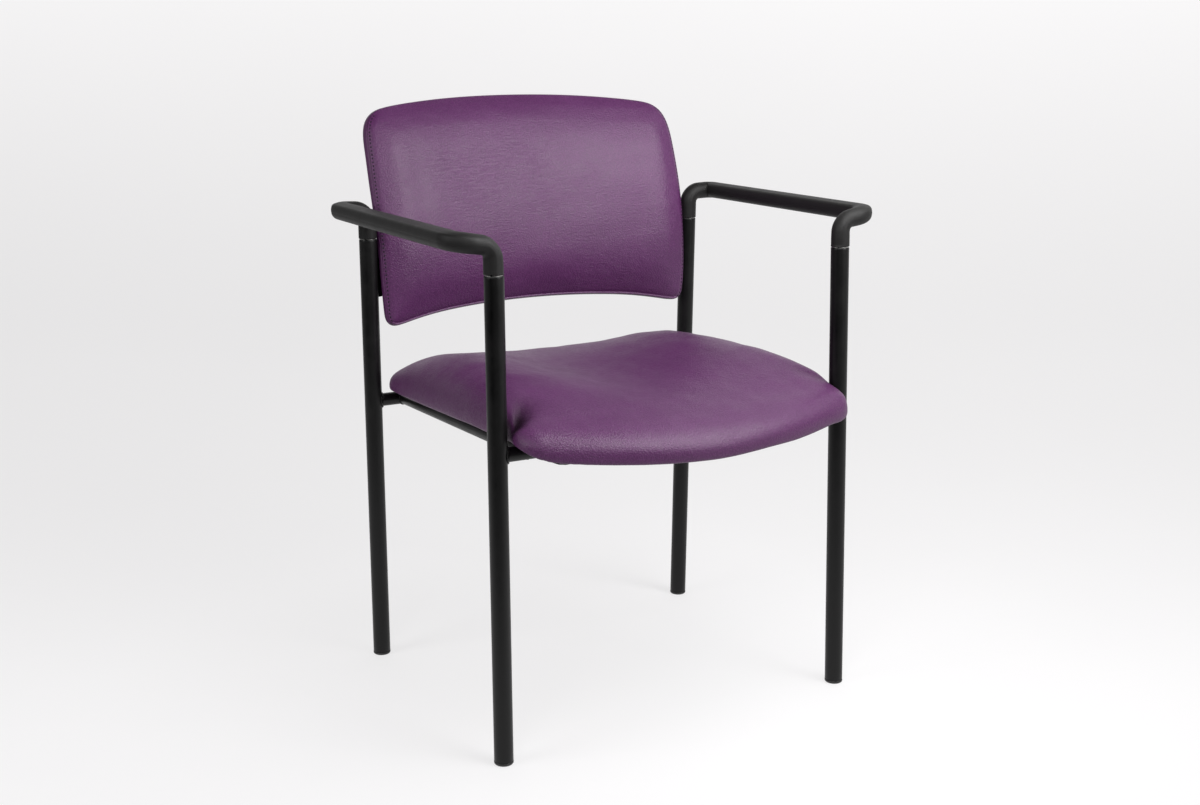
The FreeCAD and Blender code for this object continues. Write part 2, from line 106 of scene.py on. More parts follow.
def half_to_loop(rows, n, corners):
    """Closed loop of 4n samples from its right half. Column 0 is mirrored. The four corners fall on samples 0, n, 2n and 3n."""
    R = np.array(rows, float)
    L = R[1:-1][::-1].copy()
    L[:, 0] *= -1
    Q = np.vstack([R, L])
    per = 60
    P = closed_spline(Q[:, :2], per)
    k = np.arange(len(P)) / per
    extra = np.stack([np.interp(k, np.arange(len(Q) + 1), np.append(Q[:, c], Q[0, c])) for c in range(2, Q.shape[1])], 1) if Q.shape[1] > 2 else np.zeros((len(P), 0))
    full = np.hstack([P, extra])
    ring = np.vstack([full, full[:1]])
    s = np.concatenate([[0], np.cumsum(np.linalg.norm(np.diff(ring[:, :2], axis=0), axis=1))])
    at = []
    for c in corners:
        at.append(s[int(np.argmin(np.linalg.norm(P - np.array(c), axis=1)))])
    marks = []
    for i in range(4):
        a, b = at[i], at[(i + 1) % 4]
        if b <= a:
            b += s[-1]
        marks.append(a + (b - a) * np.arange(n) / n)
    t = np.concatenate(marks) % s[-1]
    res = np.stack([np.interp(t, s, ring[:, c]) for c in range(ring.shape[1])], 1)
    if res.shape[1] > 2:
        res[:, 2:] = gauss_loop(res[:, 2:], 4.0)
    return res


def inward(P, sigma):
    """Unit normals to the left of a closed loop, smoothed."""
    t = np.roll(P, -1, 0) - np.roll(P, 1, 0)
    t /= np.linalg.norm(t, axis=1)[:, None]
    n = np.stack([-t[:, 1], t[:, 0]], 1)
    if sigma:
        n = gauss_loop(n, sigma)
        n /= np.linalg.norm(n, axis=1)[:, None]
    return n


def smoothstep(a, b, x):
    t = np.clip((x - a) / (b - a), 0, 1)
    return t * t * (3 - 2 * t)


def wobble(p, scale, seed, octaves=2):
    """Smooth pseudo-noise about -1..1 from sums of sines, the same on every run."""
    rng = np.random.RandomState(seed)
    out = np.zeros(len(p))
    amp, tot = 1.0, 0.0
    for o in range(octaves):
        for _ in range(7):
            k = rng.normal(size=3)
            k *= (2 * math.pi / scale) * (2 ** o) / np.linalg.norm(k) * rng.uniform(0.6, 1.4)
            out += amp * np.sin(p @ k + rng.uniform(0, 6.28))
        tot += amp * amp * 3.5
        amp *= 0.5
    return out / math.sqrt(tot) / 2.0


# ---------------------------------------------------------------- mesh building
class Build:
    def __init__(self):
        self.v, self.q, self.t, self.n = [], [], [], 0

    def add(self, pts):
        pts = np.asarray(pts, float)
        i = np.arange(self.n, self.n + len(pts))
        self.v.append(pts)
        self.n += len(pts)
        return i

    def loft(self, a, b, closed=True):
        m = len(a)
        i = np.arange(m if closed else m - 1)
        j = (i + 1) % m
        self.q.append(np.stack([a[i], a[j], b[j], b[i]], 1))

    def fan(self, a, c):
        i = np.arange(len(a))
        j = (i + 1) % len(a)
        self.t.append(np.stack([a[i], a[j], np.full(len(a), c)], 1))

    def grid(self, g):
        self.q.append(np.stack([g[:-1, :-1], g[1:, :-1], g[1:, 1:], g[:-1, 1:]], -1).reshape(-1, 4))

    def verts(self):
        return np.vstack(self.v)

    def faces(self):
        f = []
        if self.q:
            f += np.vstack(self.q).tolist()
        if self.t:
            f += np.vstack(self.t).tolist()
        return f


def coons_plan(P, n, relax=60):
    """Grid filling a closed plane loop of 4n points; returns the inner (n-1)x(n-1) points."""
    c0 = P[0:n + 1]
    c1 = P[n:2 * n + 1]
    c2 = P[2 * n:3 * n + 1][::-1]
    c3 = np.vstack([P[3 * n:], P[:1]])[::-1]
    u = np.linspace(0, 1, n + 1)[:, None, None]
    v = np.linspace(0, 1, n + 1)[None, :, None]
    S = ((1 - v) * c0[:, None] + v * c2[:, None] + (1 - u) * c3[None] + u * c1[None]
         - ((1 - u) * (1 - v) * P[0] + u * (1 - v) * P[n] + u * v * P[2 * n] + (1 - u) * v * P[3 * n]))
    for _ in range(relax):
        S[1:-1, 1:-1] = 0.25 * (S[:-2, 1:-1] + S[2:, 1:-1] + S[1:-1, :-2] + S[1:-1, 2:])
    return S[1:-1, 1:-1]


def coons_fill(B, loop, n, inner_pts, flip=False):
    """Joins inner grid points to the loop they were made for. flip turns the faces to match rings that go outwards from the loop."""
    g = np.empty((n + 1, n + 1), int)
    g[:, 0] = loop[0:n + 1]
    g[n, :] = loop[n:2 * n + 1]
    g[:, n] = loop[2 * n:3 * n + 1][::-1]
    g[0, :] = np.append(loop[3 * n:], loop[0])[::-1]
    g[1:-1, 1:-1] = B.add(inner_pts.reshape(-1, 3)).reshape(n - 1, n - 1)
    B.grid(g.T if flip else g)
    return g


def edges_of(faces):
    quads = np.array([f for f in faces if len(f) == 4])
    tris = np.array([f for f in faces if len(f) == 3]) if any(len(f) == 3 for f in faces) else np.zeros((0, 3), int)
    e = []
    for k in range(4):
        if len(quads):
            e.append(quads[:, [k, (k + 1) % 4]])
    for k in range(3):
        if len(tris):
            e.append(tris[:, [k, (k + 1) % 3]])
    e = np.sort(np.vstack(e), 1)
    return np.unique(e, axis=0)


def laplace(V, E, w, times, lam=0.5):
    """Moves vertices towards the mean of their neighbours, w from 0 (held) to 1."""
    n = len(V)
    deg = np.bincount(E.ravel(), minlength=n).astype(float)
    for _ in range(times):
        s = np.zeros_like(V)
        for c in range(3):
            s[:, c] = np.bincount(E[:, 0], V[E[:, 1], c], n) + np.bincount(E[:, 1], V[E[:, 0], c], n)
        V = V + (lam * w)[:, None] * (s / deg[:, None] - V)
    return V


def vertex_normals(V, faces):
    quads = np.array([f for f in faces if len(f) == 4])
    N = np.zeros_like(V)
    a = V[quads[:, 2]] - V[quads[:, 0]]
    b = V[quads[:, 3]] - V[quads[:, 1]]
    fn = np.cross(a, b)
    for k in range(4):
        for c in range(3):
            N[:, c] += np.bincount(quads[:, k], fn[:, c], len(V))
    return N / np.maximum(np.linalg.norm(N, axis=1), 1e-12)[:, None]


def make(name, V, faces, material, body="root", smooth=True, outward=True):
    """Mesh object from millimetre vertices."""
    me = bpy.data.meshes.new(name)
    me.from_pydata(to_row(V).tolist(), [], faces)
    if outward:
        bm = bmesh.new()
        bm.from_mesh(me)
        bmesh.ops.recalc_face_normals(bm, faces=bm.faces)
        bm.to_mesh(me)
        bm.free()
    if smooth:
        me.shade_smooth()
    me.update()
    o = bpy.data.objects.new(name, me)
    bpy.context.scene.collection.objects.link(o)
    if material is not None:
        me.materials.append(material)
    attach(o, body)
    return o


# -------------------------------------------------------------------- materials
class Mat:
    def __init__(self, name):
        self.m = bpy.data.materials.new(name)
        self.m.use_nodes = True
        self.nt = self.m.node_tree
        self.bsdf = next(n for n in self.nt.nodes if n.type == "BSDF_PRINCIPLED")
        self.co = self.nt.nodes.new("ShaderNodeTexCoord").outputs["Object"]

    def link(self, a, b):
        self.nt.links.new(a, b)

    def node(self, kind, **kw):
        n = self.nt.nodes.new(kind)
        for k, v in kw.items():
            setattr(n, k, v)
        return n

    def noise(self, scale, detail=2.0, rough=0.5, distort=0.0, co=None):
        n = self.node("ShaderNodeTexNoise")
        n.inputs["Scale"].default_value = scale
        n.inputs["Detail"].default_value = detail
        n.inputs["Roughness"].default_value = rough
        n.inputs["Distortion"].default_value = distort
        self.link(co or self.co, n.inputs["Vector"])
        return n

    def voronoi(self, scale, feature="F1", rnd=1.0, co=None):
        n = self.node("ShaderNodeTexVoronoi", feature=feature)
        n.inputs["Scale"].default_value = scale
        n.inputs["Randomness"].default_value = rnd
        self.link(co or self.co, n.inputs["Vector"])
        return n

    def stretch(self, sx, sy, sz):
        n = self.node("ShaderNodeMapping")
        n.inputs["Scale"].default_value = (sx, sy, sz)
        self.link(self.co, n.inputs["Vector"])
        return n.outputs["Vector"]

    def warp(self, scale, amount):
        """Coordinates pushed about by a noise."""
        n = self.noise(scale, 2.0)
        v = self.node("ShaderNodeVectorMath", operation="MULTIPLY_ADD")
        self.link(n.outputs["Color"], v.inputs[0])
        v.inputs[1].default_value = (amount, amount, amount)
        self.link(self.co, v.inputs[2])
        return v.outputs["Vector"]

    def ramp(self, value, stops):
        r = self.node("ShaderNodeValToRGB")
        while len(r.color_ramp.elements) < len(stops):
            r.color_ramp.elements.new(0.5)
        for e, (p, c) in zip(r.color_ramp.elements, stops):
            e.position = p
            e.color = (*c, 1.0)
        self.link(value, r.inputs["Fac"])
        return r.outputs["Color"]

    def range(self, value, a, b, c, d):
        r = self.node("ShaderNodeMapRange")
        r.inputs["From Min"].default_value = a
        r.inputs["From Max"].default_value = b
        r.inputs["To Min"].default_value = c
        r.inputs["To Max"].default_value = d
        self.link(value, r.inputs["Value"])
        return r.outputs["Result"]

    def math(self, op, a, b):
        n = self.node("ShaderNodeMath", operation=op)
        for i, x in enumerate((a, b)):
            if isinstance(x, (int, float)):
                n.inputs[i].default_value = x
            else:
                self.link(x, n.inputs[i])
        return n.outputs[0]

    def bump(self, height, strength, distance, normal=None):
        n = self.node("ShaderNodeBump")
        n.inputs["Strength"].default_value = strength
        n.inputs["Distance"].default_value = distance
        self.link(height, n.inputs["Height"])
        if normal is not None:
            self.link(normal, n.inputs["Normal"])
        return n.outputs["Normal"]

    def set(self, **kw):
        for k, v in kw.items():
            s = self.bsdf.inputs[k.replace("_", " ")]
            if isinstance(v, bpy.types.NodeSocket):
                self.link(v, s)
            else:
                s.default_value = v


def vinyl():
    """Upholstery vinyl: pebbled leather grain, satin top coat, slight shade drift."""
    m = Mat("purple_vinyl")
    w = m.warp(420.0, 0.0011)
    cells = m.voronoi(470.0, "SMOOTH_F1", 0.9, w)
    cells.inputs["Smoothness"].default_value = 0.35
    fine = m.noise(2600.0, 3.0, 0.55)
    drift = m.noise(9.0, 3.0, 0.55)
    blotch = m.noise(60.0, 4.0, 0.6)
    pebble = m.range(cells.outputs["Distance"], 0.0, 0.75, 1.0, 0.0)
    height = m.math("ADD", pebble, m.math("MULTIPLY", fine.outputs["Fac"], 0.35))
    shade = m.math("ADD", m.math("MULTIPLY", drift.outputs["Fac"], 0.6), m.math("MULTIPLY", blotch.outputs["Fac"], 0.4))
    col = m.ramp(shade, [(0.25, (0.074, 0.0163, 0.075)), (0.5, (0.084, 0.0193, 0.085)), (0.75, (0.095, 0.0232, 0.096))])
    deep = m.node("ShaderNodeMix", data_type="RGBA", blend_type="MULTIPLY")
    m.link(m.range(pebble, 0.15, 0.6, 0.45, 0.0), deep.inputs[0])
    m.link(col, deep.inputs[6])
    deep.inputs[7].default_value = (0.55, 0.5, 0.58, 1)
    # painted shade in the pulled pockets beside the front legs, carried by the mesh: the vinyl colour is mixed almost
    # to black where the pocket lies in shadow
    dust = m.node("ShaderNodeAttribute", attribute_name="pocket_painted_shade").outputs["Fac"]
    painted_shade_mix = m.node("ShaderNodeMix", data_type="RGBA", blend_type="MIX")
    m.link(m.range(dust, 0.0, 1.0, 0.0, 0.93), painted_shade_mix.inputs[0])
    m.link(deep.outputs[2], painted_shade_mix.inputs[6])
    painted_shade_mix.inputs[7].default_value = (0.0030, 0.0014, 0.0022, 1)
    m.set(Base_Color=painted_shade_mix.outputs[2])
    rough = m.math("ADD", m.range(blotch.outputs["Fac"], 0.3, 0.7, 0.35, 0.42), m.range(pebble, 0.2, 0.9, 0.08, 0.0))
    # the specular is cut in the same painted pocket shade
    m.set(Roughness=rough, Specular_IOR_Level=m.range(dust, 0.0, 0.9, 0.40, 0.05))
    # faint creases that lie across the stretch
    crease = m.noise(1.0, 3.0, 0.55, 0.5, co=m.stretch(42.0, 42.0, 260.0))
    patch = m.noise(7.0, 2.0, 0.5)
    lines = m.math("MULTIPLY", m.range(m.math("ABSOLUTE", m.math("SUBTRACT", crease.outputs["Fac"], 0.5), 0.0), 0.0, 0.09, 1.0, 0.0), m.range(patch.outputs["Fac"], 0.50, 0.68, 0.0, 1.0))
    # uneven, slightly wrinkled hand of the grain
    hand = m.noise(190.0, 4.0, 0.62, 0.6)
    m.set(Normal=m.bump(height, 0.75, 0.0004, m.bump(hand.outputs["Fac"], 0.30, 0.0009, m.bump(lines, 0.32, 0.0007))))
    return m.m


def powder_coat():
    """Black satin powder coat with a faint orange peel."""
    m = Mat("black_powder_coat")
    peel = m.noise(900.0, 2.0, 0.5)
    grit = m.noise(4200.0, 2.0, 0.6)
    scuff = m.noise(38.0, 5.0, 0.65)
    col = m.ramp(scuff.outputs["Fac"], [(0.3, (0.0024, 0.0024, 0.0025)), (0.62, (0.0034, 0.0033, 0.0034)), (0.8, (0.0062, 0.0060, 0.0059))])
    m.set(Base_Color=col, Roughness=m.range(scuff.outputs["Fac"], 0.3, 0.75, 0.32, 0.44), Specular_IOR_Level=0.27)
    h = m.math("ADD", peel.outputs["Fac"], m.math("MULTIPLY", grit.outputs["Fac"], 0.35))
    m.set(Normal=m.bump(h, 0.16, 0.0002))
    return m.m


def arm_polymer():
    """Moulded soft-touch grip: warm charcoal, fine spark texture."""
    m = Mat("charcoal_grip")
    spark = m.noise(3200.0, 3.0, 0.65)
    flow = m.noise(46.0, 4.0, 0.6)
    col = m.ramp(flow.outputs["Fac"], [(0.3, (0.0066, 0.0063, 0.0063)), (0.7, (0.0092, 0.0088, 0.0087))])
    m.set(Base_Color=col, Roughness=m.range(flow.outputs["Fac"], 0.3, 0.7, 0.52, 0.60), Specular_IOR_Level=0.26)
    m.set(Normal=m.bump(spark.outputs["Fac"], 0.22, 0.00016))
    return m.m


def nylon():
    m = Mat("black_nylon")
    a = m.noise(1800.0, 3.0, 0.6)
    b = m.noise(70.0, 4.0, 0.6)
    col = m.ramp(b.outputs["Fac"], [(0.3, (0.010, 0.010, 0.010)), (0.75, (0.020, 0.0195, 0.019))])
    m.set(Base_Color=col, Roughness=m.range(b.outputs["Fac"], 0.3, 0.7, 0.42, 0.58))
    m.set(Normal=m.bump(a.outputs["Fac"], 0.2, 0.00015))
    return m.m


def bright_steel():
    m = Mat("bright_steel")
    a = m.noise(420.0, 3.0, 0.6, co=m.stretch(1, 1, 9))
    m.set(Base_Color=m.ramp(a.outputs["Fac"], [(0.3, (0.40, 0.393, 0.385)), (0.7, (0.50, 0.49, 0.475))]), Metallic=1.0,
          Roughness=m.range(a.outputs["Fac"], 0.3, 0.7, 0.28, 0.42))
    m.set(Normal=m.bump(a.outputs["Fac"], 0.1, 0.0001))
    return m.m


def zinc(name, dark):
    m = Mat(name)
    a = m.voronoi(900.0, "F1", 1.0)
    b = m.noise(240.0, 3.0, 0.6)
    if dark:
        stops = [(0.3, (0.030, 0.030, 0.032)), (0.7, (0.052, 0.052, 0.055))]
    else:
        stops = [(0.3, (0.46, 0.46, 0.45)), (0.7, (0.60, 0.59, 0.56))]
    m.set(Base_Color=m.ramp(b.outputs["Fac"], stops), Metallic=1.0, Roughness=m.range(b.outputs["Fac"], 0.3, 0.7, 0.30, 0.46))
    m.set(Normal=m.bump(a.outputs["Distance"], 0.12, 0.00012))
    return m.m


def dust_cloth():
    """Black spun-bonded sheet with its pressed dot pattern."""
    m = Mat("black_nonwoven")
    dots = m.voronoi(560.0, "F1", 0.12)
    fibre = m.noise(2400.0, 4.0, 0.7, 0.6)
    col = m.ramp(fibre.outputs["Fac"], [(0.3, (0.009, 0.009, 0.0095)), (0.7, (0.021, 0.021, 0.022))])
    m.set(Base_Color=col, Roughness=m.range(fibre.outputs["Fac"], 0.3, 0.7, 0.78, 0.92), Specular_IOR_Level=0.25)
    h = m.math("ADD", m.range(dots.outputs["Distance"], 0.0, 0.35, 0.0, 1.0), m.math("MULTIPLY", fibre.outputs["Fac"], 0.5))
    m.set(Normal=m.bump(h, 0.4, 0.0003))
    return m.m


def thread():
    m = Mat("dark_purple_thread")
    w = m.node("ShaderNodeTexWave", wave_type="BANDS", bands_direction="DIAGONAL")
    w.inputs["Scale"].default_value = 900.0
    w.inputs["Distortion"].default_value = 1.0
    m.link(m.co, w.inputs["Vector"])
    m.set(Base_Color=m.ramp(w.outputs["Fac"], [(0.2, (0.006, 0.002, 0.008)), (0.8, (0.018, 0.006, 0.022))]), Roughness=0.62, Specular_IOR_Level=0.3)
    m.set(Normal=m.bump(w.outputs["Fac"], 0.4, 0.0002))
    return m.m


def plywood():
    m = Mat("plywood")
    a = m.noise(55.0, 5.0, 0.6, 0.4, co=m.stretch(1, 6, 1))
    m.set(Base_Color=m.ramp(a.outputs["Fac"], [(0.3, (0.36, 0.22, 0.11)), (0.7, (0.52, 0.35, 0.19))]), Roughness=m.range(a.outputs["Fac"], 0.3, 0.7, 0.55, 0.7))
    m.set(Normal=m.bump(a.outputs["Fac"], 0.2, 0.0003))
    return m.m


def studio_floor():
    """Pale seamless paper that glows: its emission is painted light, even behind the chair and falling off towards the
    open side of the room.
    """
    m = Mat("studio_paper")
    a = m.noise(2.2, 4.0, 0.55)
    b = m.noise(700.0, 2.0, 0.5)
    d = m.node("ShaderNodeVectorMath", operation="DOT_PRODUCT")
    m.link(m.co, d.inputs[0])
    d.inputs[1].default_value = (0.4919, 0.8706, 0.0)
    near = m.node("ShaderNodeMapRange", interpolation_type="SMOOTHSTEP")
    for k, v in (("From Min", -1.4), ("From Max", -0.55), ("To Min", 0.03), ("To Max", 0.72)):
        near.inputs[k].default_value = v
    m.link(d.outputs["Value"], near.inputs["Value"])
    up = m.node("ShaderNodeSeparateXYZ")
    m.link(m.co, up.inputs[0])
    across = m.node("ShaderNodeVectorMath", operation="DOT_PRODUCT")
    m.link(m.co, across.inputs[0])
    across.inputs[1].default_value = (0.8706, -0.4919, 0.0)
    # the emission paints the light on the paper: stronger behind the chair and up the wall, a little weaker to the left
    painted_glow = m.math("ADD", near.outputs["Result"], m.range(up.outputs["Z"], 0.0, 1.6, 0.0, 0.23))
    painted_glow = m.math("ADD", painted_glow, m.range(across.outputs["Value"], -1.0, 1.0, -0.030, 0.006))
    # painted falloff: the paper's glow ends well to the left of the chair
    side = m.node("ShaderNodeVectorMath", operation="DOT_PRODUCT")
    m.link(m.co, side.inputs[0])
    side.inputs[1].default_value = (1.0182, -0.2307, 0.0)
    painted_glow = m.math("ADD", painted_glow, m.range(side.outputs["Value"], -2.3, -1.35, -0.45, 0.0))
    m.set(Base_Color=m.ramp(a.outputs["Fac"], [(0.3, (0.225, 0.225, 0.228)), (0.7, (0.238, 0.238, 0.240))]),
          Roughness=m.range(a.outputs["Fac"], 0.3, 0.7, 0.72, 0.82), Specular_IOR_Level=0.1,
          Emission_Color=(1.0, 0.99, 0.995, 1), Emission_Strength=painted_glow)
    m.set(Normal=m.bump(b.outputs["Fac"], 0.03, 0.0002))
    return m.m


VINYL = vinyl()
COAT = powder_coat()
GRIP = arm_polymer()
NYLON = nylon()
STEEL = bright_steel()
ZINC = zinc("bright_zinc", False)
BLACK_ZINC = zinc("black_zinc", True)
CLOTH = dust_cloth()
THREAD = thread()
PLY = plywood()
PAPER = studio_floor()

# ------------------------------------------------------------------ frame tubes
LEG_R, LEG_TOP, GLIDE_H = 12.7, 638.2, 4.5
RAIL_R = 9.525
RAIL_X, RAIL_REAR_Z, RAIL_FRONT_Z = 223.0, 399.3, 411.8
SIDES = ((-1, "left"), (1, "right"))


def leg_at(side, rear, z):
    if rear:
        return np.array([side * (268.2 + 0.0058 * z), 213.5 - 0.0152 * z, z])
    return np.array([side * (268.8 - 0.0064 * z), -213.5 + 0.0245 * z, z])


def circle(n, r):
    a = np.arange(n) * 2 * math.pi / n
    return np.stack([r * np.cos(a), r * np.sin(a)], 1)


def turned(name, side, rear, profile, material, slot, n=96):
    """Leg-line turned piece: profile rows are (z, radius), rings lie level."""
    B = Build()
    prev = None
    for z, r in profile:
        c = leg_at(side, rear, z)
        ring = np.zeros((n, 3))
        ring[:, :2] = circle(n, r) + c[:2]
        ring[:, 2] = z
        cur = B.add(ring)
        if prev is not None:
            B.loft(prev, cur)
        prev = cur
    return B, prev


for side, sname in SIDES:
    for rear, rname in ((0, "front"), (1, "rear")):
        prof = [(GLIDE_H + 14, 11.1), (GLIDE_H + 0.1, 11.1), (GLIDE_H + 0.02, 11.6), (GLIDE_H + 0.1, 12.25), (GLIDE_H + 0.45, 12.6), (GLIDE_H + 1.0, LEG_R)]
        prof += [(z, LEG_R) for z in np.linspace(20, LEG_TOP - 3, 34)]
        prof += [(LEG_TOP - 0.9, LEG_R), (LEG_TOP - 0.4, 12.56), (LEG_TOP - 0.1, 12.3), (LEG_TOP, 11.9), (LEG_TOP, 11.3), (LEG_TOP - 0.3, 11.1), (LEG_TOP - 20, 11.1)]
        B, _ = turned("leg", side, rear, prof, COAT, "frame")
        o = make("leg_tube_%s_%s" % (rname, sname), B.verts(), B.faces(), COAT, outward=False)
        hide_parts("%s_leg_%s" % (rname, sname))
        bm = bmesh.new(); bm.from_mesh(o.data)
        bmesh.ops.recalc_face_normals(bm, faces=bm.faces)
        bm.to_mesh(o.data); bm.free()

        # insert glide: shallow dished foot, rounded rim, collar under the tube
        prof = [(0.75, 0.01), (0.7, 4.0), (0.35, 7.0), (0.05, 8.6), (0.0, 9.6), (0.12, 10.6), (0.55, 11.6), (1.25, 12.4), (2.1, 12.82), (3.0, 12.9), (3.9, 12.9), (4.2, 12.75),
                (4.36, 12.45), (4.4, 11.8), (4.45, 10.95), (12.0, 10.95), (12.6, 10.6)]
        B, last = turned("glide", side, rear, prof, NYLON, "glide")
        c = B.add(np.array([[*leg_at(side, rear, 12.6)]]))
        B.fan(last, c[0])
        o = make("glide_%s_%s" % (rname, sname), B.verts(), B.faces(), NYLON)
        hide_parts("foot_glide_%s_%s" % (rname, sname))


def tube_between(a, b, r, n=72, steps=24):
    a, b = np.array(a, float), np.array(b, float)
    d = (b - a) / np.linalg.norm(b - a)
    s = np.cross(d, [0, 0, 1.0])
    s /= np.linalg.norm(s)
    u = np.cross(s, d)
    B = Build()
    prev = None
    cc = circle(n, r)
    for t in np.linspace(0, 1, steps):
        cur = B.add(a + (b - a) * t + cc[:, :1] * s + cc[:, 1:] * u)
        if prev is not None:
            B.loft(prev, cur)
        prev = cur
    return B


def bead(curve, r, seed, ripple=0.28, pitch=2.6, n=14, squash=0.8):
    """Weld bead along a closed curve, with the scale pattern of a hand run."""
    P = np.array(curve, float)
    m = len(P)
    s = np.concatenate([[0], np.cumsum(np.linalg.norm(np.roll(P, -1, 0) - P, axis=1))])
    L = s[-1]
    k = max(180, int(L / 0.45))
    t = np.linspace(0, L, k, endpoint=False)
    ring = np.vstack([P, P[:1]])
    Q = np.stack([np.interp(t, s, ring[:, c]) for c in range(3)], 1)
    T = np.roll(Q, -1, 0) - np.roll(Q, 1, 0)
    T /= np.linalg.norm(T, axis=1)[:, None]
    mid = Q.mean(0)
    out = Q - mid
    out -= (out * T).sum(1)[:, None] * T
    out /= np.linalg.norm(out, axis=1)[:, None]
    bi = np.cross(T, out)
    rng = np.random.RandomState(seed)
    wob = np.zeros(k)
    for h in range(2, 7):
        wob += np.sin(t / L * 2 * math.pi * h + rng.uniform(0, 6.28)) * rng.uniform(0.3, 1) / h
    turns = max(3, round(L / pitch))
    ph = t / L * turns * 2 * math.pi
    B = Build()
    first = prev = None
    for i in range(k):
        a = np.arange(n) * 2 * math.pi / n
        rr = r * (1 + 0.10 * wob[i]) + ripple * 0.5 * (np.sin(ph[i] + 0.9 * np.cos(a)))
        ring_i = Q[i] + (rr * np.cos(a))[:, None] * out[i] + (rr * squash * np.sin(a))[:, None] * bi[i]
        cur = B.add(ring_i)
        if prev is not None:
            B.loft(prev, cur)
        else:
            first = cur
        prev = cur
    B.loft(prev, first)
    return B


def cope_curve(rail_c, rail_dir, r, big_c, big_dir, R, n=160):
    """Where a tube of radius r meets the near side of a tube of radius R."""
    d = np.array(rail_dir, float) / np.linalg.norm(rail_dir)
    g = np.array(big_dir, float) / np.linalg.norm(big_dir)
    s = np.cross(d, g)
    s /= np.linalg.norm(s)
    u = np.cross(s, d)
    a = np.arange(n) * 2 * math.pi / n
    pts = []
    for t in a:
        off = r * math.cos(t) * s + r * math.sin(t) * u
        p0 = np.array(rail_c) + off
        # distance along d (from the big tube's axis) to its surface
        q = p0 - np.array(big_c)
        qp = q - (q @ g) * g
        dp = d - (d @ g) * g
        A, Bq, C = dp @ dp, 2 * qp @ dp, qp @ qp - R * R
        disc = max(Bq * Bq - 4 * A * C, 0.0)
        x = (-Bq + math.sqrt(disc)) / (2 * A)
        pts.append(p0 + x * d)
    return pts


rear_y = float(leg_at(1, 1, RAIL_REAR_Z)[1])
front_y = float(leg_at(1, 0, RAIL_FRONT_Z)[1])
for rear, rname, z in ((0, "front", RAIL_FRONT_Z), (1, "rear", RAIL_REAR_Z)):
    a, b = leg_at(-1, rear, z), leg_at(1, rear, z)
    a2, b2 = a + np.array([11.6, 0, 0]), b - np.array([11.6, 0, 0])
    B = tube_between(a2, b2, RAIL_R, steps=60)
    o = make("cross_rail_tube_%s" % rname, B.verts(), B.faces(), COAT, outward=False)
    bm = bmesh.new(); bm.from_mesh(o.data); bmesh.ops.recalc_face_normals(bm, faces=bm.faces); bm.to_mesh(o.data); bm.free()
    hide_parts("%s_cross_rail" % rname)
    for side, sname in SIDES:
        c = leg_at(side, rear, z)
        g = leg_at(side, rear, z + 10) - c
        cv = cope_curve(c, (-side, 0, 0), RAIL_R + 0.5, c, g, LEG_R + 0.3)
        W = bead(cv, 1.9, 11 + rear * 2 + side)
        make("weld_%s_rail_%s" % (rname, sname), W.verts(), W.faces(), COAT)

for side, sname in SIDES:
    p0 = np.array([side * RAIL_X, rear_y - 8.2, RAIL_REAR_Z + 8.2 / (rear_y - front_y) * (RAIL_FRONT_Z - RAIL_REAR_Z)])
    p1 = np.array([side * RAIL_X, front_y + 8.2, RAIL_FRONT_Z - 8.2 / (rear_y - front_y) * (RAIL_FRONT_Z - RAIL_REAR_Z)])
    B = tube_between(p0, p1, RAIL_R, steps=60)
    o = make("side_rail_tube_%s" % sname, B.verts(), B.faces(), COAT, outward=False)
    bm = bmesh.new(); bm.from_mesh(o.data); bmesh.ops.recalc_face_normals(bm, faces=bm.faces); bm.to_mesh(o.data); bm.free()
    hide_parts("side_rail_%s" % sname)
    d = (p1 - p0) / np.linalg.norm(p1 - p0)
    for rear, rname, y, z, dd in ((1, "rear", rear_y, RAIL_REAR_Z, d), (0, "front", front_y, RAIL_FRONT_Z, -d)):
        c = np.array([side * RAIL_X, y, z])
        cv = cope_curve(c, dd, RAIL_R - 0.15, c, (1, 0, 0), RAIL_R + 0.2)
        W = bead(cv, 1.7, 31 + rear * 2 + side)
        make("weld_side_%s_%s" % (rname, sname), W.verts(), W.faces(), COAT)

# -------------------------------------------------------------------- armrests
ARM_X, ARM_Z = 313.8, 682.0
ELBOW_FRONT_Z, ELBOW_REAR_Z = 675.8, 680.6
SLEEVE_R, SLEEVE_Z = 13.1, 639.4


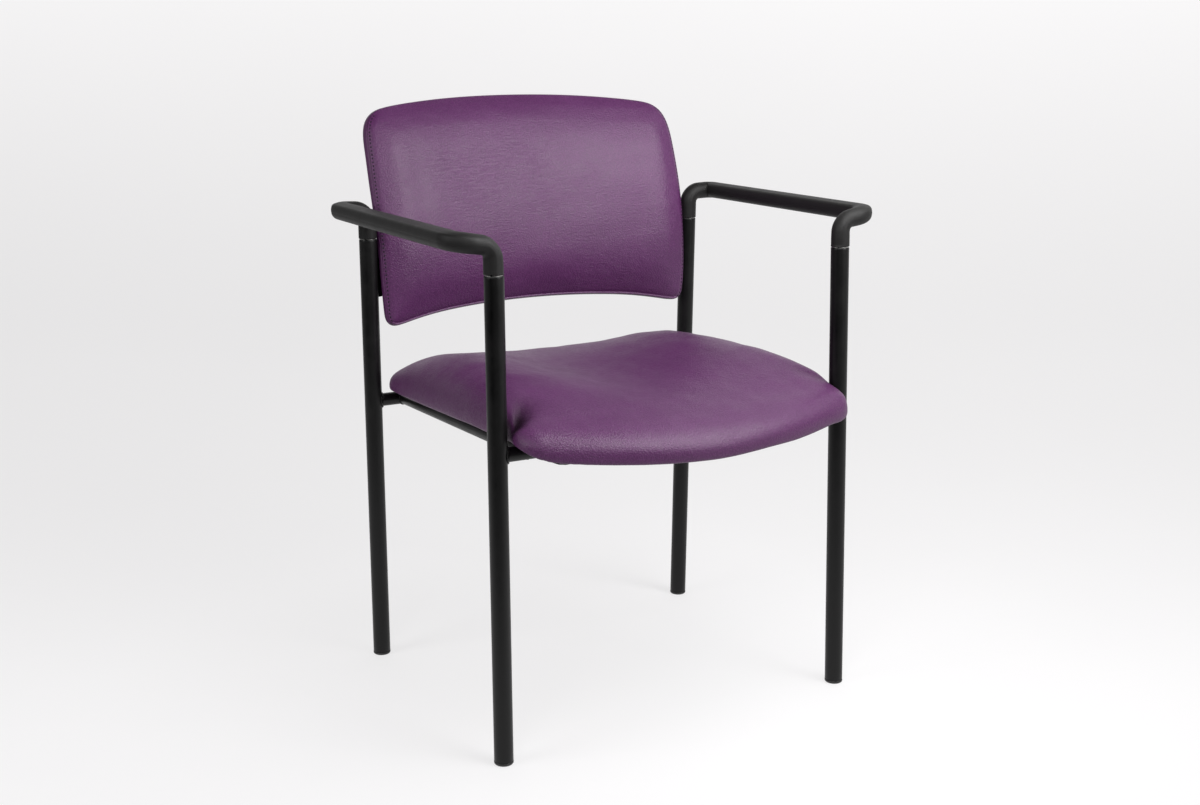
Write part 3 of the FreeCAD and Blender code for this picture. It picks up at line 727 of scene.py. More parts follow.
def arm_path(side):
    pts = [leg_at(side, 0, SLEEVE_Z), leg_at(side, 0, ELBOW_FRONT_Z)]
    pts.append(np.array([side * ARM_X, pts[1][1], ARM_Z]))
    q = leg_at(side, 1, ELBOW_REAR_Z)
    pts.append(np.array([side * ARM_X, q[1], ARM_Z]))
    pts.append(q)
    pts.append(leg_at(side, 1, SLEEVE_Z))
    radii = [18.5, 25.0, 13.0, 18.5]
    out, tag = [], []
    start = pts[0]

    def run(a, b, step, w0, w1):
        k = max(1, int(np.linalg.norm(b - a) / step))
        for i in range(k):
            out.append(a + (b - a) * i / k)
            tag.append(w0 + (w1 - w0) * i / k)

    # tag counts corners passed, so that the section can change round a bend
    for i in range(1, 5):
        p = pts[i]
        u = (pts[i - 1] - p) / np.linalg.norm(pts[i - 1] - p)
        w = (pts[i + 1] - p) / np.linalg.norm(pts[i + 1] - p)
        ang = math.acos(float(np.clip(u @ w, -1, 1)))
        r = radii[i - 1]
        t = r / math.tan(ang / 2)
        a, b = p + u * t, p + w * t
        run(start, a, 1.6, i - 1 + 0.0, i - 1 + 0.0)
        bis = (u + w) / np.linalg.norm(u + w)
        c = p + bis * (r / math.sin(ang / 2))
        e1 = (a - c) / r
        nrm = np.cross(a - c, b - c)
        nrm /= np.linalg.norm(nrm)
        e2 = np.cross(nrm, e1)
        turn = math.pi - ang
        k = max(10, int(r * turn / 1.1))
        for j in range(k):
            f = j / k
            out.append(c + r * (math.cos(turn * f) * e1 + math.sin(turn * f) * e2))
            tag.append(i - 1 + f)
        start = b
    run(start, pts[-1], 1.6, 4.0, 4.0)
    out.append(pts[-1])
    tag.append(4.0)
    return np.array(out), np.array(tag)


def d_section(n):
    """Grip section: (across, up) polar radius at n angles. Flat crowned top, full lower corners."""
    hw, top, low = 15.2, 11.9, 11.6
    rt, rb = 5.0, 10.2
    pts = []

    def arc(cx, cy, r, a0, a1):
        for t in np.linspace(a0, a1, 60):
            pts.append((cx + r * math.cos(t), cy + r * math.sin(t)))

    arc(hw - rt, top - 1.1 - rt, rt, 0, math.pi / 2 - 0.09)
    for x in np.linspace(hw - rt - 0.5, -(hw - rt - 0.5), 160):
        pts.append((x, top - 1.1 * (x / (hw - rt)) ** 2))
    arc(-(hw - rt), top - 1.1 - rt, rt, math.pi / 2 + 0.09, math.pi)
    arc(-(hw - rb), -(low - rb), rb, math.pi, 1.5 * math.pi)
    arc(hw - rb, -(low - rb), rb, 1.5 * math.pi, 2 * math.pi)
    p = np.array(pts)
    a = np.arctan2(p[:, 1], p[:, 0]) % (2 * math.pi)
    r = np.hypot(p[:, 0], p[:, 1])
    o = np.argsort(a)
    a, r = a[o], r[o]
    th = np.arange(n) * 2 * math.pi / n
    return np.interp(th, np.concatenate([a - 2 * math.pi, a, a + 2 * math.pi]), np.tile(r, 3))


NS = 144
D_POLAR = d_section(NS)


def armrest(side, sname):
    P, tag = arm_path(side)
    m = len(P)
    T = np.gradient(P, axis=0)
    T /= np.linalg.norm(T, axis=1)[:, None]
    # frames carried from the middle of the grip, where up is +Z
    mid = m // 2
    U = np.zeros_like(P)
    up = np.array([0, 0, 1.0])
    up -= (up @ T[mid]) * T[mid]
    U[mid] = up / np.linalg.norm(up)
    for rng, step in ((range(mid + 1, m), -1), (range(mid - 1, -1, -1), 1)):
        for i in rng:
            u = U[i + step]
            u = u - (u @ T[i]) * T[i]
            U[i] = u / np.linalg.norm(u)
    S = np.cross(T, U)
    # 0 on the round elbows, 1 on the flat topped grip; the change runs through the side bends
    s = np.concatenate([[0], np.cumsum(np.linalg.norm(np.diff(P, axis=0), axis=1))])
    in0, in1 = np.interp(0.75, tag, s), s[np.argmax(tag >= 2.0)] + 16.0
    out0, out1 = s[len(tag) - 1 - np.argmax(tag[::-1] <= 2.0)] - 16.0, np.interp(3.25, tag, s)
    w = smoothstep(in0, in1, s) * (1 - smoothstep(out0, out1, s))
    th = np.arange(NS) * 2 * math.pi / NS
    # moulded parting line on the two sides
    def ridge(at):
        dlt = (th - at + math.pi) % (2 * math.pi) - math.pi
        return np.exp(-0.5 * (dlt / 0.035) ** 2)
    part = 0.12 * (ridge(0.0) + ridge(math.pi))
    B = Build()
    prev = None
    ends = []
    end_prof = ((0.0, 11.2), (0.0, 11.9), (0.05, 12.35), (0.3, 12.75), (0.8, 13.0))
    rows = []
    for k, (ds, r) in enumerate(end_prof):
        rows.append((0, ds, r))
    for i in range(m):
        if 1.2 < s[i] < s[-1] - 1.2:
            rows.append((i, None, None))
    for k, (ds, r) in enumerate(end_prof[::-1]):
        rows.append((m - 1, -ds, r))

    def evened(a):
        k = np.exp(-0.5 * (np.arange(-18, 19) / 6.0) ** 2)
        return np.convolve(np.pad(a, 18, mode="edge"), k / k.sum(), "valid")

    # outside of the bends drawn flat, sleeve stretched thin over them, grip ends a little full
    flat = evened(3.1 * np.exp(-((tag - 0.52) / 0.46) ** 2) + 1.4 * np.exp(-((tag - 3.5) / 0.44) ** 2))
    swell = evened(-0.3 * np.exp(-((tag - 0.5) / 0.35) ** 2) - 0.3 * np.exp(-((tag - 3.5) / 0.35) ** 2))
    corner = evened(0.35 * np.exp(-((tag - 1.45) / 0.40) ** 2) + 0.35 * np.exp(-((tag - 2.55) / 0.40) ** 2))
    w = evened(w)
    for i, ds, r in rows:
        if ds is not None:
            c = P[i] + T[i] * ds
            rad = np.full(NS, r)
        else:
            c = P[i]
            rad = (SLEEVE_R + swell[i]) * (1 - w[i]) + D_POLAR * w[i] + corner[i] * 0.5 * (1 + np.cos(th - (0 if side > 0 else math.pi)))
            rad = rad - flat[i] * np.maximum(np.sin(th), 0) ** 1.5
            rad = rad + part * (0.55 + 0.45 * (1 - w[i]))
        ring = c + (rad * np.cos(th))[:, None] * S[i] + (rad * np.sin(th))[:, None] * U[i]
        cur = B.add(ring)
        if prev is not None:
            B.loft(prev, cur)
        prev = cur
    V = B.verts()
    o = make("arm_grip_%s" % sname, V, B.faces(), GRIP, outward=False)
    bm = bmesh.new(); bm.from_mesh(o.data); bmesh.ops.recalc_face_normals(bm, faces=bm.faces); bm.to_mesh(o.data); bm.free()
    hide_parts("armrest_cover_%s" % sname)
    return o


def arm_tube(side, sname):
    """Bent steel tube inside the grip; it shows as a thin bright ring above each leg."""
    P, _ = arm_path(side)
    a = np.array([leg_at(side, 0, z) for z in np.linspace(605.0, 638.5, 24)])
    b = np.array([leg_at(side, 1, z) for z in np.linspace(638.5, 605.0, 24)])
    P = np.vstack([a, P, b])
    T = np.gradient(P, axis=0)
    T /= np.linalg.norm(T, axis=1)[:, None]
    u = np.array([0.0, 1.0, 0.0])
    B = Build()
    prev = None
    cc = circle(56, 1.0)
    for i in range(len(P)):
        u = u - (u @ T[i]) * T[i]
        u /= np.linalg.norm(u)
        r = 11.0 - 2.0 * float(smoothstep(646.0, 656.0, P[i][2]))
        cur = B.add(P[i] + r * (cc[:, :1] * u + cc[:, 1:] * np.cross(T[i], u)))
        if prev is not None:
            B.loft(prev, cur)
        prev = cur
    o = make("arm_tube_%s" % sname, B.verts(), B.faces(), STEEL, outward=False)
    bm = bmesh.new(); bm.from_mesh(o.data); bmesh.ops.recalc_face_normals(bm, faces=bm.faces); bm.to_mesh(o.data); bm.free()
    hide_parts("arm_core_%s" % sname)


for side, sname in SIDES:
    armrest(side, sname)
    arm_tube(side, sname)

# ------------------------------------------------------------------------ seat
SEAT_BASE = ((-322, 424), (-300, 436), (-270, 445), (-235, 450.5), (-190, 453.5), (-130, 454), (-60, 453.5), (0, 454), (60, 456.6), (110, 460.3), (150, 461.2), (180, 458.2), (208, 453))
SEAT_SIDE = ((-322, 0), (-270, 0), (-238, 0.5), (-200, 8.5), (-168, 16.5), (-110, 26.5), (-70, 30.5), (0, 30.5), (60, 25.7), (119, 16.5), (150, 9.0), (180, 2.4), (208, 0.8))
# outline, right half: x, y, width of the roll, height of the widest line, height of the lower rim, how far the rim is tucked in
SEAT_ROWS = ((0, -317, 45, 414, 399, 4), (60, -313.5, 45, 415.5, 400.2, 4), (119, -302.5, 45, 418, 402.8, 4), (169, -287, 44, 420.4, 406, 4),
             (206, -273.5, 43, 421.4, 409, 4), (230, -263, 40, 422.4, 412.6, 4), (244.5, -253.5, 36, 424.6, 417.6, 3.5), (252, -243.5, 30, 427.8, 422.6, 3),
             (255, -233, 23, 430, 425.6, 2.5), (254.6, -223, 18.5, 432, 426.6, 2.5), (252.4, -212.5, 15, 433.6, 427, 2.5), (250.9, -202.5, 14.5, 435.2, 427.4, 2.5),
             (252.0, -191.5, 18, 436, 428.0, 2.5), (254.8, -177, 27, 435.8, 428.6, 4), (257, -155, 41, 434.9, 428.8, 5), (257.5, -110, 58, 434, 427.8, 6),
             (255.8, -50, 71, 432.8, 424.2, 6), (254, 10, 77, 431.4, 420.7, 6), (253, 70, 79, 429.9, 417.8, 6), (252.3, 118, 80, 428.8, 416, 6),
             (252.3, 150, 80, 427.4, 415.2, 6), (252.8, 175, 80, 425.6, 415.6, 6), (251, 194, 80, 424.4, 416.2, 6), (240, 205, 77, 426.4, 415, 6),
             (220, 209.5, 69, 430.4, 413, 6), (195, 210.5, 61, 433.6, 411.8, 6), (140, 210.5, 54, 436, 411, 6), (70, 210.5, 51, 436, 410.8, 6), (0, 210.5, 51, 435.5, 411, 6))


def seat_z(x, y):
    t = np.minimum(1, np.abs(x) / 205.0)
    return pchip(SEAT_BASE, y) + pchip(SEAT_SIDE, y) * np.sin(math.pi / 2 * t) ** 2


def rail_z(y):
    return RAIL_REAR_Z + (rear_y - y) / (rear_y - front_y) * (RAIL_FRONT_Z - RAIL_REAR_Z)


def board_bottom(y):
    z = rail_z(y) + RAIL_R + 4.0
    return z - 26.0 * (np.maximum(-215 - y, 0) / 107.0) ** 1.25


def along(p, a, b):
    """(share along a-b, distance from its line) in plan."""
    a, b = np.array(a, float), np.array(b, float)
    d = b - a
    L = np.linalg.norm(d)
    d = d / L
    q = p[:, :2] - a
    t = q @ d
    return t / L, q @ np.array([-d[1], d[0]])


# plan line of the pull beside a front leg
POCKET = np.array([[245.5, -214.5], [193.5, -150.0]])


def build_seat():
    n = 160
    loop = half_to_loop(SEAT_ROWS, n, ((-254.4, -229), (254.4, -229), (246, 200), (-246, 200)))
    O, w, zmid, zrim, rin = loop[:, :2], loop[:, 2], loop[:, 3], loop[:, 4], loop[:, 5]
    nrm = inward(O, 2.0)
    soft = inward(O, 7.0)
    # the roll runs towards an inner rectangle, so that its start never folds over itself at the corners
    core = np.column_stack([np.clip(O[:, 0], -140, 140), np.clip(O[:, 1], -185, 100)]) - O
    core = gauss_loop(core / np.linalg.norm(core, axis=1)[:, None], 6.0)
    A = gauss_loop(O + core / np.linalg.norm(core, axis=1)[:, None] * w[:, None], 5.0)
    B = Build()
    # crown
    plan = coons_plan(A, n, 80)
    inner = np.dstack([plan, seat_z(plan[..., 0], plan[..., 1])[..., None]])
    ring = B.add(np.column_stack([A, seat_z(A[:, 0], A[:, 1])]))
    coons_fill(B, ring, n, inner, True)
    prev = ring
    drop = seat_z(O[:, 0], O[:, 1]) - zmid
    K = 16
    rows = {}
    for k in range(1, K + 1):
        f = math.pi / 2 * k / K
        s = math.sin(f) ** 0.96
        xy = A + (O - A) * s
        z = seat_z(xy[:, 0], xy[:, 1]) - drop * (1 - math.cos(f) ** 0.96)
        cur = B.add(np.column_stack([xy, z]))
        B.loft(prev, cur)
        prev = cur
        rows[k] = cur
    # face under the roll down to the rim
    for k in range(1, 9):
        f = math.pi / 2 * k / 8
        e = 2 / 3.2
        xy = O + nrm * (rin * (1 - math.cos(f) ** e))[:, None]
        z = zmid - (zmid - zrim) * math.sin(f) ** e
        cur = B.add(np.column_stack([xy, z]))
        B.loft(prev, cur)
        prev = cur
        rows["rim%d" % k] = cur
    R = O + nrm * rin[:, None]
    # turned under the board
    for d in (5, 12, 22, 34, 48):
        xy = gauss_loop(R + soft * d, min(6.0, 0.5 + d / 8))
        zu = board_bottom(xy[:, 1]) - 1.5
        f = smoothstep(0, 34, d)
        z = zrim + (zu - zrim) * f
        cur = B.add(np.column_stack([xy, z]))
        B.loft(prev, cur)
        prev = cur
        rows["under%d" % d] = cur
    last = xy
    for f in (0.8, 0.55, 0.25):
        p = np.array([0, -45.0]) + (last - np.array([0, -45.0])) * f
        cur = B.add(np.column_stack([p, board_bottom(p[:, 1]) - 1.5]))
        B.loft(prev, cur)
        prev = cur
    c = B.add(np.array([[0, -45.0, float(board_bottom(np.array(-45.0))) - 1.5]]))
    B.fan(prev, c[0])

    V, F = B.verts(), B.faces()
    E = edges_of(F)
    free = np.ones(len(V))
    free[rows["rim8"][0]:] = 0.0
    V = laplace(V, E, free, 10, 0.5)
    N = vertex_normals(V, F)
    if N[len(A) + 5000][2] < 0:
        N = -N

    # foam pulled in beside the front legs: a pocket that runs back into the crown and opens out
    dep = np.zeros(len(V))
    for s in (-1, 1):
        pull = 1.0 if s < 0 else 0.25
        t, dist = along(V, POCKET[0] * np.array([s, 1]), POCKET[1] * np.array([s, 1]))
        dist = -s * dist
        deep = np.interp(t, [-0.12, 0.0, 0.15, 0.35, 0.6, 0.85, 1.1], [0, 6.5, 9.0, 7.0, 3.4, 1.2, 0])
        wide = np.interp(t, [0, 0.3, 0.6, 1.0], [4.4, 6.4, 10.0, 15.0])
        d = pull * deep * np.exp(-0.5 * (dist / (wide * np.where(dist > 0, 0.85, 1.6))) ** 2)
        V[:, 2] -= np.minimum(d, 0.9 * np.maximum(V[:, 2] - 431.0, 0))
        # ridge of the front corner
        t, dist = along(V, (s * 241.0, -228.0), (s * 230.0, -262.0))
        k = smoothstep(-0.3, 0.2, t) * (1 - smoothstep(0.75, 1.2, t))
        dep += 1.3 * pull * k * np.exp(-0.5 * (dist / 7.0) ** 2)
    V = V + N * (dep * smoothstep(418, 432, V[:, 2]))[:, None]
    # the cover is pulled up harder at one front corner than at the other
    low = 1 - smoothstep(424, 444, V[:, 2])
    for cx, cy, up, wid in ((-253.0, -232.0, 3.2, 17.0), (247.0, -244.0, -7.0, 17.0), (72.0, -307.0, 2.0, 34.0), (226.0, -262.0, -2.6, 12.0)):
        V[:, 2] += up * low * np.exp(-0.5 * (((V[:, 0] - cx) / wid) ** 2 + ((V[:, 1] - cy) / wid) ** 2))
    # the rear edge stands a little higher on one side
    high = smoothstep(432, 446, V[:, 2])
    for cx, cy, up, wx, wy in ((150.0, 152.0, 2.8, 32.0, 24.0), (-222.0, 192.0, -1.4, 18.0, 22.0), (246.0, -230.0, -2.4, 10.0, 12.0)):
        V[:, 2] += up * high * np.exp(-0.5 * (((V[:, 0] - cx) / wx) ** 2 + ((V[:, 1] - cy) / wy) ** 2))
    # and lies lower over the pull on the other side
    calm = smoothstep(205, 244, V[:, 0]) * np.exp(-0.5 * ((V[:, 1] + 206.0) / 12.0) ** 2)
    V[:, 2] -= 2.0 * calm * smoothstep(432, 440, V[:, 2])

    # pulled pleats under the front corners and small gathers along the rim
    for key, amp in (("rim4", 0.25), ("rim5", 0.45), ("rim6", 0.8), ("rim7", 1.0), ("rim8", 1.0), ("under5", 0.9), ("under12", 0.6)):
        ids = rows[key]
        x, y = O[:, 0], O[:, 1]
        ang = np.concatenate([[0], np.cumsum(np.linalg.norm(np.diff(O, axis=0), axis=1))])
        near = np.exp(-0.5 * ((np.abs(x) - 215) / 34.0) ** 2) * (y < -225) + 0.8 * np.exp(-0.5 * ((np.abs(x) - 226) / 18.0) ** 2) * (y > 150)
        g = np.sin(ang / 15.0 * 2 * math.pi + 2.4 * np.sin(ang / 41.0)) * (0.6 + 0.4 * np.sin(ang / 29.0 + 0.7)) * near * 0.7
        g += 0.15 * np.sin(ang / 47.0 * 2 * math.pi) * np.sin(ang / 21.0 + 1.0)
        V[ids] += np.column_stack([nrm * (-0.9 * amp * g)[:, None], 0.8 * amp * g])
    # slow unevenness of hand-pulled vinyl over foam
    un = 0.75 * wobble(V, 150.0, 5) + 0.22 * wobble(V, 46.0, 6)
    V = V + N * (un * smoothstep(405, 440, V[:, 2]))[:, None]
    soft_w = free * 0.6
    V = laplace(V, E, soft_w, 3, 0.4)
    return V, F, rows, O


SEAT_V, SEAT_F, SEAT_RINGS, SEAT_O = build_seat()


def pocket_painted_shade(V):
    """Share of painted shade in the pocket beside each front leg, where the pocket lies in shadow."""
    out = np.zeros(len(V))
    for s, share in ((-1, 1.0), (1, 0.35)):
        t, dist = along(V, POCKET[0] * np.array([s, 1]), POCKET[1] * np.array([s, 1]))
        dist = -s * dist
        p = np.interp(t, [-0.17, -0.06, 0.20, 0.42, 0.70, 1.0], [0, 1.0, 1.0, 0.72, 0.28, 0])
        w = np.interp(t, [0, 0.3, 0.6, 1.0], [6.0, 8.0, 11.5, 16.0])
        w = w * np.where(dist > 0, 0.9, np.interp(t, [0, 0.4], [1.7, 1.0]))
        out = np.maximum(out, share * p * np.exp(-0.5 * (dist / w) ** 2))
    return out * smoothstep(430.5, 435.5, V[:, 2])


seat = make("seat_upholstery", SEAT_V, SEAT_F, VINYL)
# painted shade in the front-leg pockets, stored on the seat mesh for the vinyl colour
seat.data.attributes.new("pocket_painted_shade", "FLOAT", "POINT").data.foreach_set("value", pocket_painted_shade(SEAT_V).astype(np.float32))
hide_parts("seat_cover", "seat_foam", "seat_board")


# underside sheet, folded at its edge and stapled through the vinyl
def build_dust():
    n = 64
    a = np.arange(4 * n) * 2 * math.pi / (4 * n) - 3 * math.pi / 4
    k = (np.abs(np.cos(a)) ** 3.4 + np.abs(np.sin(a)) ** 3.4) ** (-1 / 3.4)
    P = np.stack([224 * np.cos(a) * k, -46 + 232 * np.sin(a) * k], 1)
    # at one front corner the sheet is pushed out and hangs just below the rim: the sheet itself is real, but this black
    # corner is put there to stand in for the shade under the seat's front corner
    shade_droop = np.exp(-0.5 * (((P[:, 0] + 186) / 30.0) ** 2 + ((P[:, 1] + 238) / 30.0) ** 2))
    P = P - gauss_loop(inward(P, 0), 2.0) * (40.0 * shade_droop)[:, None]
    plan = coons_plan(P, n, 40)

    def z_of(x, y):
        # the 8 mm droop near the same front corner is black sheet standing in for shade under the seat
        z = board_bottom(y) - 2.35 - 8.0 * np.exp(-0.5 * (((x + 216) / 24.0) ** 2 + ((y + 260) / 18.0) ** 2))
        sag = np.clip(1 - (np.abs(x) / 205.0) ** 4, 0, 1) * np.clip(1 - ((y + 40) / 215.0) ** 4, 0, 1)
        q = np.column_stack([np.ravel(x), np.ravel(y), np.zeros(np.size(x))])
        ripple = (wobble(q, 120.0, 21) * 0.9 + 0.5 * wobble(q * np.array([1, 0.25, 1]), 34.0, 22)).reshape(np.shape(x))
        return z - sag * (2.6 + 1.0 * ripple)

    B = Build()
    ring = B.add(np.column_stack([P, z_of(P[:, 0], P[:, 1])]))
    inner = np.dstack([plan, z_of(plan[..., 0], plan[..., 1])[..., None]])
    coons_fill(B, ring, n, inner, True)
    # fold back over itself, the fold lying against the vinyl
    nn = inward(P, 0)
    lip = B.add(np.column_stack([P - nn * 0.35, z_of(P[:, 0], P[:, 1]) + 0.3]))
    B.loft(ring, lip)
    back = B.add(np.column_stack([P + nn * 14, z_of(P[:, 0], P[:, 1]) + 0.62]))
    B.loft(lip, back)
    V, F = B.verts(), B.faces()
    keep = []
    holes = [(s * RAIL_X, y) for s in (-1, 1) for y in (130.0, -130.0)]
    for f in F:
        c = V[f].mean(0)
        if all(math.hypot(c[0] - h[0], c[1] - h[1]) > 10.5 for h in holes):
            keep.append(f)
    return V, keep, P, z_of


DUST_V, DUST_F, DUST_P, DUST_Z = build_dust()
dust = make("seat_dust_sheet", DUST_V, DUST_F, CLOTH)
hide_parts("seat_dust_cover")
bm = bmesh.new(); bm.from_mesh(dust.data)
bmesh.ops.delete(bm, geom=[v for v in bm.verts if not v.link_faces], context="VERTS")
bm.to_mesh(dust.data); bm.free()


def wire_staple(c, t, up, width=11.0, r=0.55):
    """Staple crown lying on the sheet with its bent shoulders."""
    t = t / np.linalg.norm(t)
    up = up / np.linalg.norm(up)
    s = np.cross(t, up)
    h = width / 2
    path = [c - t * h + up * 1.6, c - t * h + up * 0.3, c - t * (h - 0.25) - up * 0.25, c - t * (h - 1.0) - up * 0.45,
            c - up * 0.5, c + t * (h - 1.0) - up * 0.45, c + t * (h - 0.25) - up * 0.25, c + t * h + up * 0.3, c + t * h + up * 1.6]
    B = Build()
    prev = None
    for i, p in enumerate(path):
        d = path[min(i + 1, len(path) - 1)] - path[max(i - 1, 0)]
        d = d / np.linalg.norm(d)
        e1 = s
        e2 = np.cross(d, e1)
        a = np.arange(8) * math.pi / 4
        cur = B.add(p + r * 0.85 * np.cos(a)[:, None] * e1 + r * np.sin(a)[:, None] * e2)
        if prev is not None:
            B.loft(prev, cur)
        prev = cur
    return B


V_all, F_all, off = [], [], 0
rng = np.random.RandomState(7)
m4 = len(DUST_P)
s_arc = np.concatenate([[0], np.cumsum(np.linalg.norm(np.diff(np.vstack([DUST_P, DUST_P[:1]]), axis=0), axis=1))])
for k in range(38):
    at = (k + rng.uniform(-0.12, 0.12)) / 38 * s_arc[-1]
    i = int(np.searchsorted(s_arc, at % s_arc[-1])) % m4
    t = DUST_P[(i + 1) % m4] - DUST_P[i - 1]
    t = t / np.linalg.norm(t)
    nn = np.array([-t[1], t[0]])
    c2 = DUST_P[i] + nn * (6.5 + rng.uniform(-1.2, 1.2))
    if abs(abs(c2[0]) - RAIL_X) < 13:
        c2 = c2 + nn * 0.0
    c = np.array([c2[0], c2[1], float(DUST_Z(np.array([c2[0]]), np.array([c2[1]]))[0]) - 0.1])
    tilt = rng.uniform(-0.35, 0.35)
    t3 = np.array([t[0] * math.cos(tilt) - t[1] * math.sin(tilt), t[0] * math.sin(tilt) + t[1] * math.cos(tilt), 0])
    B = wire_staple(c, t3, np.array([0, 0, 1.0]))
    v, f = B.verts(), B.faces()
    V_all.append(v)
    F_all += [[q + off for q in g] for g in f]
    off += len(v)
make("seat_staples", np.vstack(V_all), F_all, ZINC, outward=False)

# ------------------------------------------------------------------------ back
BACK_EDGE = ((505, 186), (530, 186.1), (560, 186.9), (600, 190.1), (640, 195.4), (680, 204.1), (720, 215.6), (760, 228.5), (790, 240.5), (834, 259), (860, 270.5))
BACK_ROWS = ((0, 530.5), (60, 529.5), (120, 526.5), (180, 520.5), (215, 514.5), (232, 511.8), (243, 513), (249.5, 520), (252, 531), (254, 560), (255.5, 600), (256.5, 640),
             (257.3, 680), (257.2, 720), (256, 760), (254, 785), (248, 803), (236, 815), (215, 821.5), (180, 826), (120, 831), (60, 833.7), (0, 834.5))
BACK_H, BACK_LAM, CONCAVE = 25.0, 25.0, 30.0


def back_board(x, z):
    return pchip(BACK_EDGE, z) + CONCAVE * (1 - (x / 252.0) ** 2)


def band_t(z):
    """Thickness of the back behind its seam."""
    return np.interp(z, [511, 560, 680, 780, 834], [11.2, 11.4, 12.2, 15.0, 16.8])


def build_back():
    n = 150
    loop = half_to_loop(BACK_ROWS, n, ((-246.5, 516), (246.5, 516), (243.5, 809.5), (-243.5, 809.5)))
    O = loop[:, :2]
    nrm = inward(O, 1.5)
    soft = inward(O, 8.0)

    # distance from the four edges, rounded together at the corners
    ring = np.vstack([O, O[:1]])
    right = O[:, 0] > 0
    i0 = int(np.argmin(np.where(right, O[:, 1], 1e9)))          # lowest point on the right
    i1 = int(np.argmin(np.abs(O[:, 0]) + np.where(O[:, 1] > 700, 0, 1e9)))  # top centre
    side_z, side_x = O[i0:i1 + 1, 1], O[i0:i1 + 1, 0]
    o = np.argsort(side_z)
    side_z, side_x = np.maximum.accumulate(side_z[o]), side_x[o]
    topm = O[:, 1] > 680
    ot = np.argsort(O[topm][:, 0])
    top_x, top_z = O[topm][ot].T
    ob = np.argsort(O[~topm][:, 0])
    bot_x, bot_z = O[~topm][ob].T
    # outside the widest columns the top and bottom curves meet the sides
    def dist(x, z):
        X = np.interp(z, side_z, side_x)
        zt = np.interp(np.abs(x), top_x, top_z)
        zb = np.interp(np.abs(x), bot_x, bot_z)
        d = [np.maximum(X - x, 0), np.maximum(X + x, 0), np.maximum(zt - z, 0), np.maximum(z - zb, 0)]
        p = 2.6
        s = sum((np.maximum(q, 1e-3)) ** -p for q in d)
        return s ** (-1 / p)

    def front_y(x, z, d):
        zb = np.interp(np.abs(x), bot_x, bot_z)
        slow = 1 - 0.40 * (1 - smoothstep(12, 95, z - zb))
        return back_board(x, z) - BACK_H * (1 - np.exp(-d * slow / BACK_LAM))

    d0 = 34.0
    A = gauss_loop(O + soft * d0, 6.0)
    B = Build()
    plan = coons_plan(A, n, 80)
    inner = np.stack([plan[..., 0], front_y(plan[..., 0], plan[..., 1], dist(plan[..., 0], plan[..., 1])), plan[..., 1]], -1)
    prev = B.add(np.column_stack([A[:, 0], front_y(A[:, 0], A[:, 1], dist(A[:, 0], A[:, 1])), A[:, 1]]))
    first = prev
    coons_fill(B, prev, n, inner, True)
    rows = {}
    turned = smoothstep(0.70, 0.93, nrm[:, 1])      # the lower edge is turned under
    plain = smoothstep(0.70, 0.93, np.abs(nrm[:, 1]))      # only the sides are topstitched
    ds = (30, 26, 22, 18.5, 15.5, 12.8, 10.4, 8.4, 6.8, 5.6, 4.8, 4.2, 3.75, 3.3, 2.85, 2.4, 1.9, 1.4, 0.95, 0.55, 0.2)
    for d in ds:
        f = d / d0
        # straight inset near the seam, blending to the rounded inset loop inside
        k = smoothstep(0.12, 1.0, f)
        xz = (O + nrm * d) * (1 - k) + (O + (A - O) * f) * k
        dd = dist(xz[:, 0], xz[:, 1])
        dd = np.where(d < 8, d * 0.6 + dd * 0.4, dd)
        y = front_y(xz[:, 0], xz[:, 1], dd)
        y = y + (1 - plain) * (0.40 * math.exp(-0.5 * ((d - 2.85) / 0.9) ** 2) - 0.7 * math.exp(-0.5 * ((d - 8.0) / 2.6) ** 2))      # stitched channel and the roll beside it
        y = y - turned * (1.5 * math.exp(-0.5 * ((d - 2.1) / 0.9) ** 2) - 0.5 * math.exp(-0.5 * ((d - 4.6) / 1.1) ** 2))      # bead of the turned edge
        y = y + 1.1 * max(0.0, 1 - d / 1.5) ** 2                       # turns down into the seam
        cur = B.add(np.column_stack([xz[:, 0], y, xz[:, 1]]))
        B.loft(prev, cur)
        prev = cur
        rows[d] = cur
    # seam bottom
    yb = back_board(O[:, 0], O[:, 1])
    e = 1.0
    gx = -2 * CONCAVE * O[:, 0] / 252.0 ** 2
    gz = (back_board(O[:, 0], O[:, 1] + e) - back_board(O[:, 0], O[:, 1] - e)) / (2 * e)
    Nb = np.column_stack([-gx, np.ones(len(O)), -gz])
    Nb /= np.linalg.norm(Nb, axis=1)[:, None]
    T = band_t(O[:, 1])
    P3 = np.column_stack([O[:, 0], yb, O[:, 1]])
    out3 = np.column_stack([-nrm[:, 0], np.zeros(len(O)), -nrm[:, 1]])
    out3 -= (out3 * Nb).sum(1)[:, None] * Nb
    out3 /= np.linalg.norm(out3, axis=1)[:, None]
    cur = B.add(P3 - out3 * 1.25 + Nb * 1.05)
    B.loft(prev, cur)
    prev = cur
    # side band with a slight belly, rounded over to the rear panel
    for f, o_, dn in ((0.10, -0.30, 0.15), (0.14, 0.15, 0.0), (0.20, 0.55, 0), (0.30, 0.95, 0), (0.42, 1.15, 0), (0.55, 1.15, 0), (0.66, 0.95, 0), (0.75, 0.55, 0), (0.83, -0.1, 0), (0.90, -1.1, 0), (0.95, -2.3, 0), (0.985, -3.7, 0), (1.0, -5.4, 0)):
        cur = B.add(P3 + out3 * o_ + Nb * (T * f)[:, None])
        B.loft(prev, cur)
        prev = cur
        rows["band%.3f" % f] = cur
    # rear panel
    def rear_y(x, z, d):
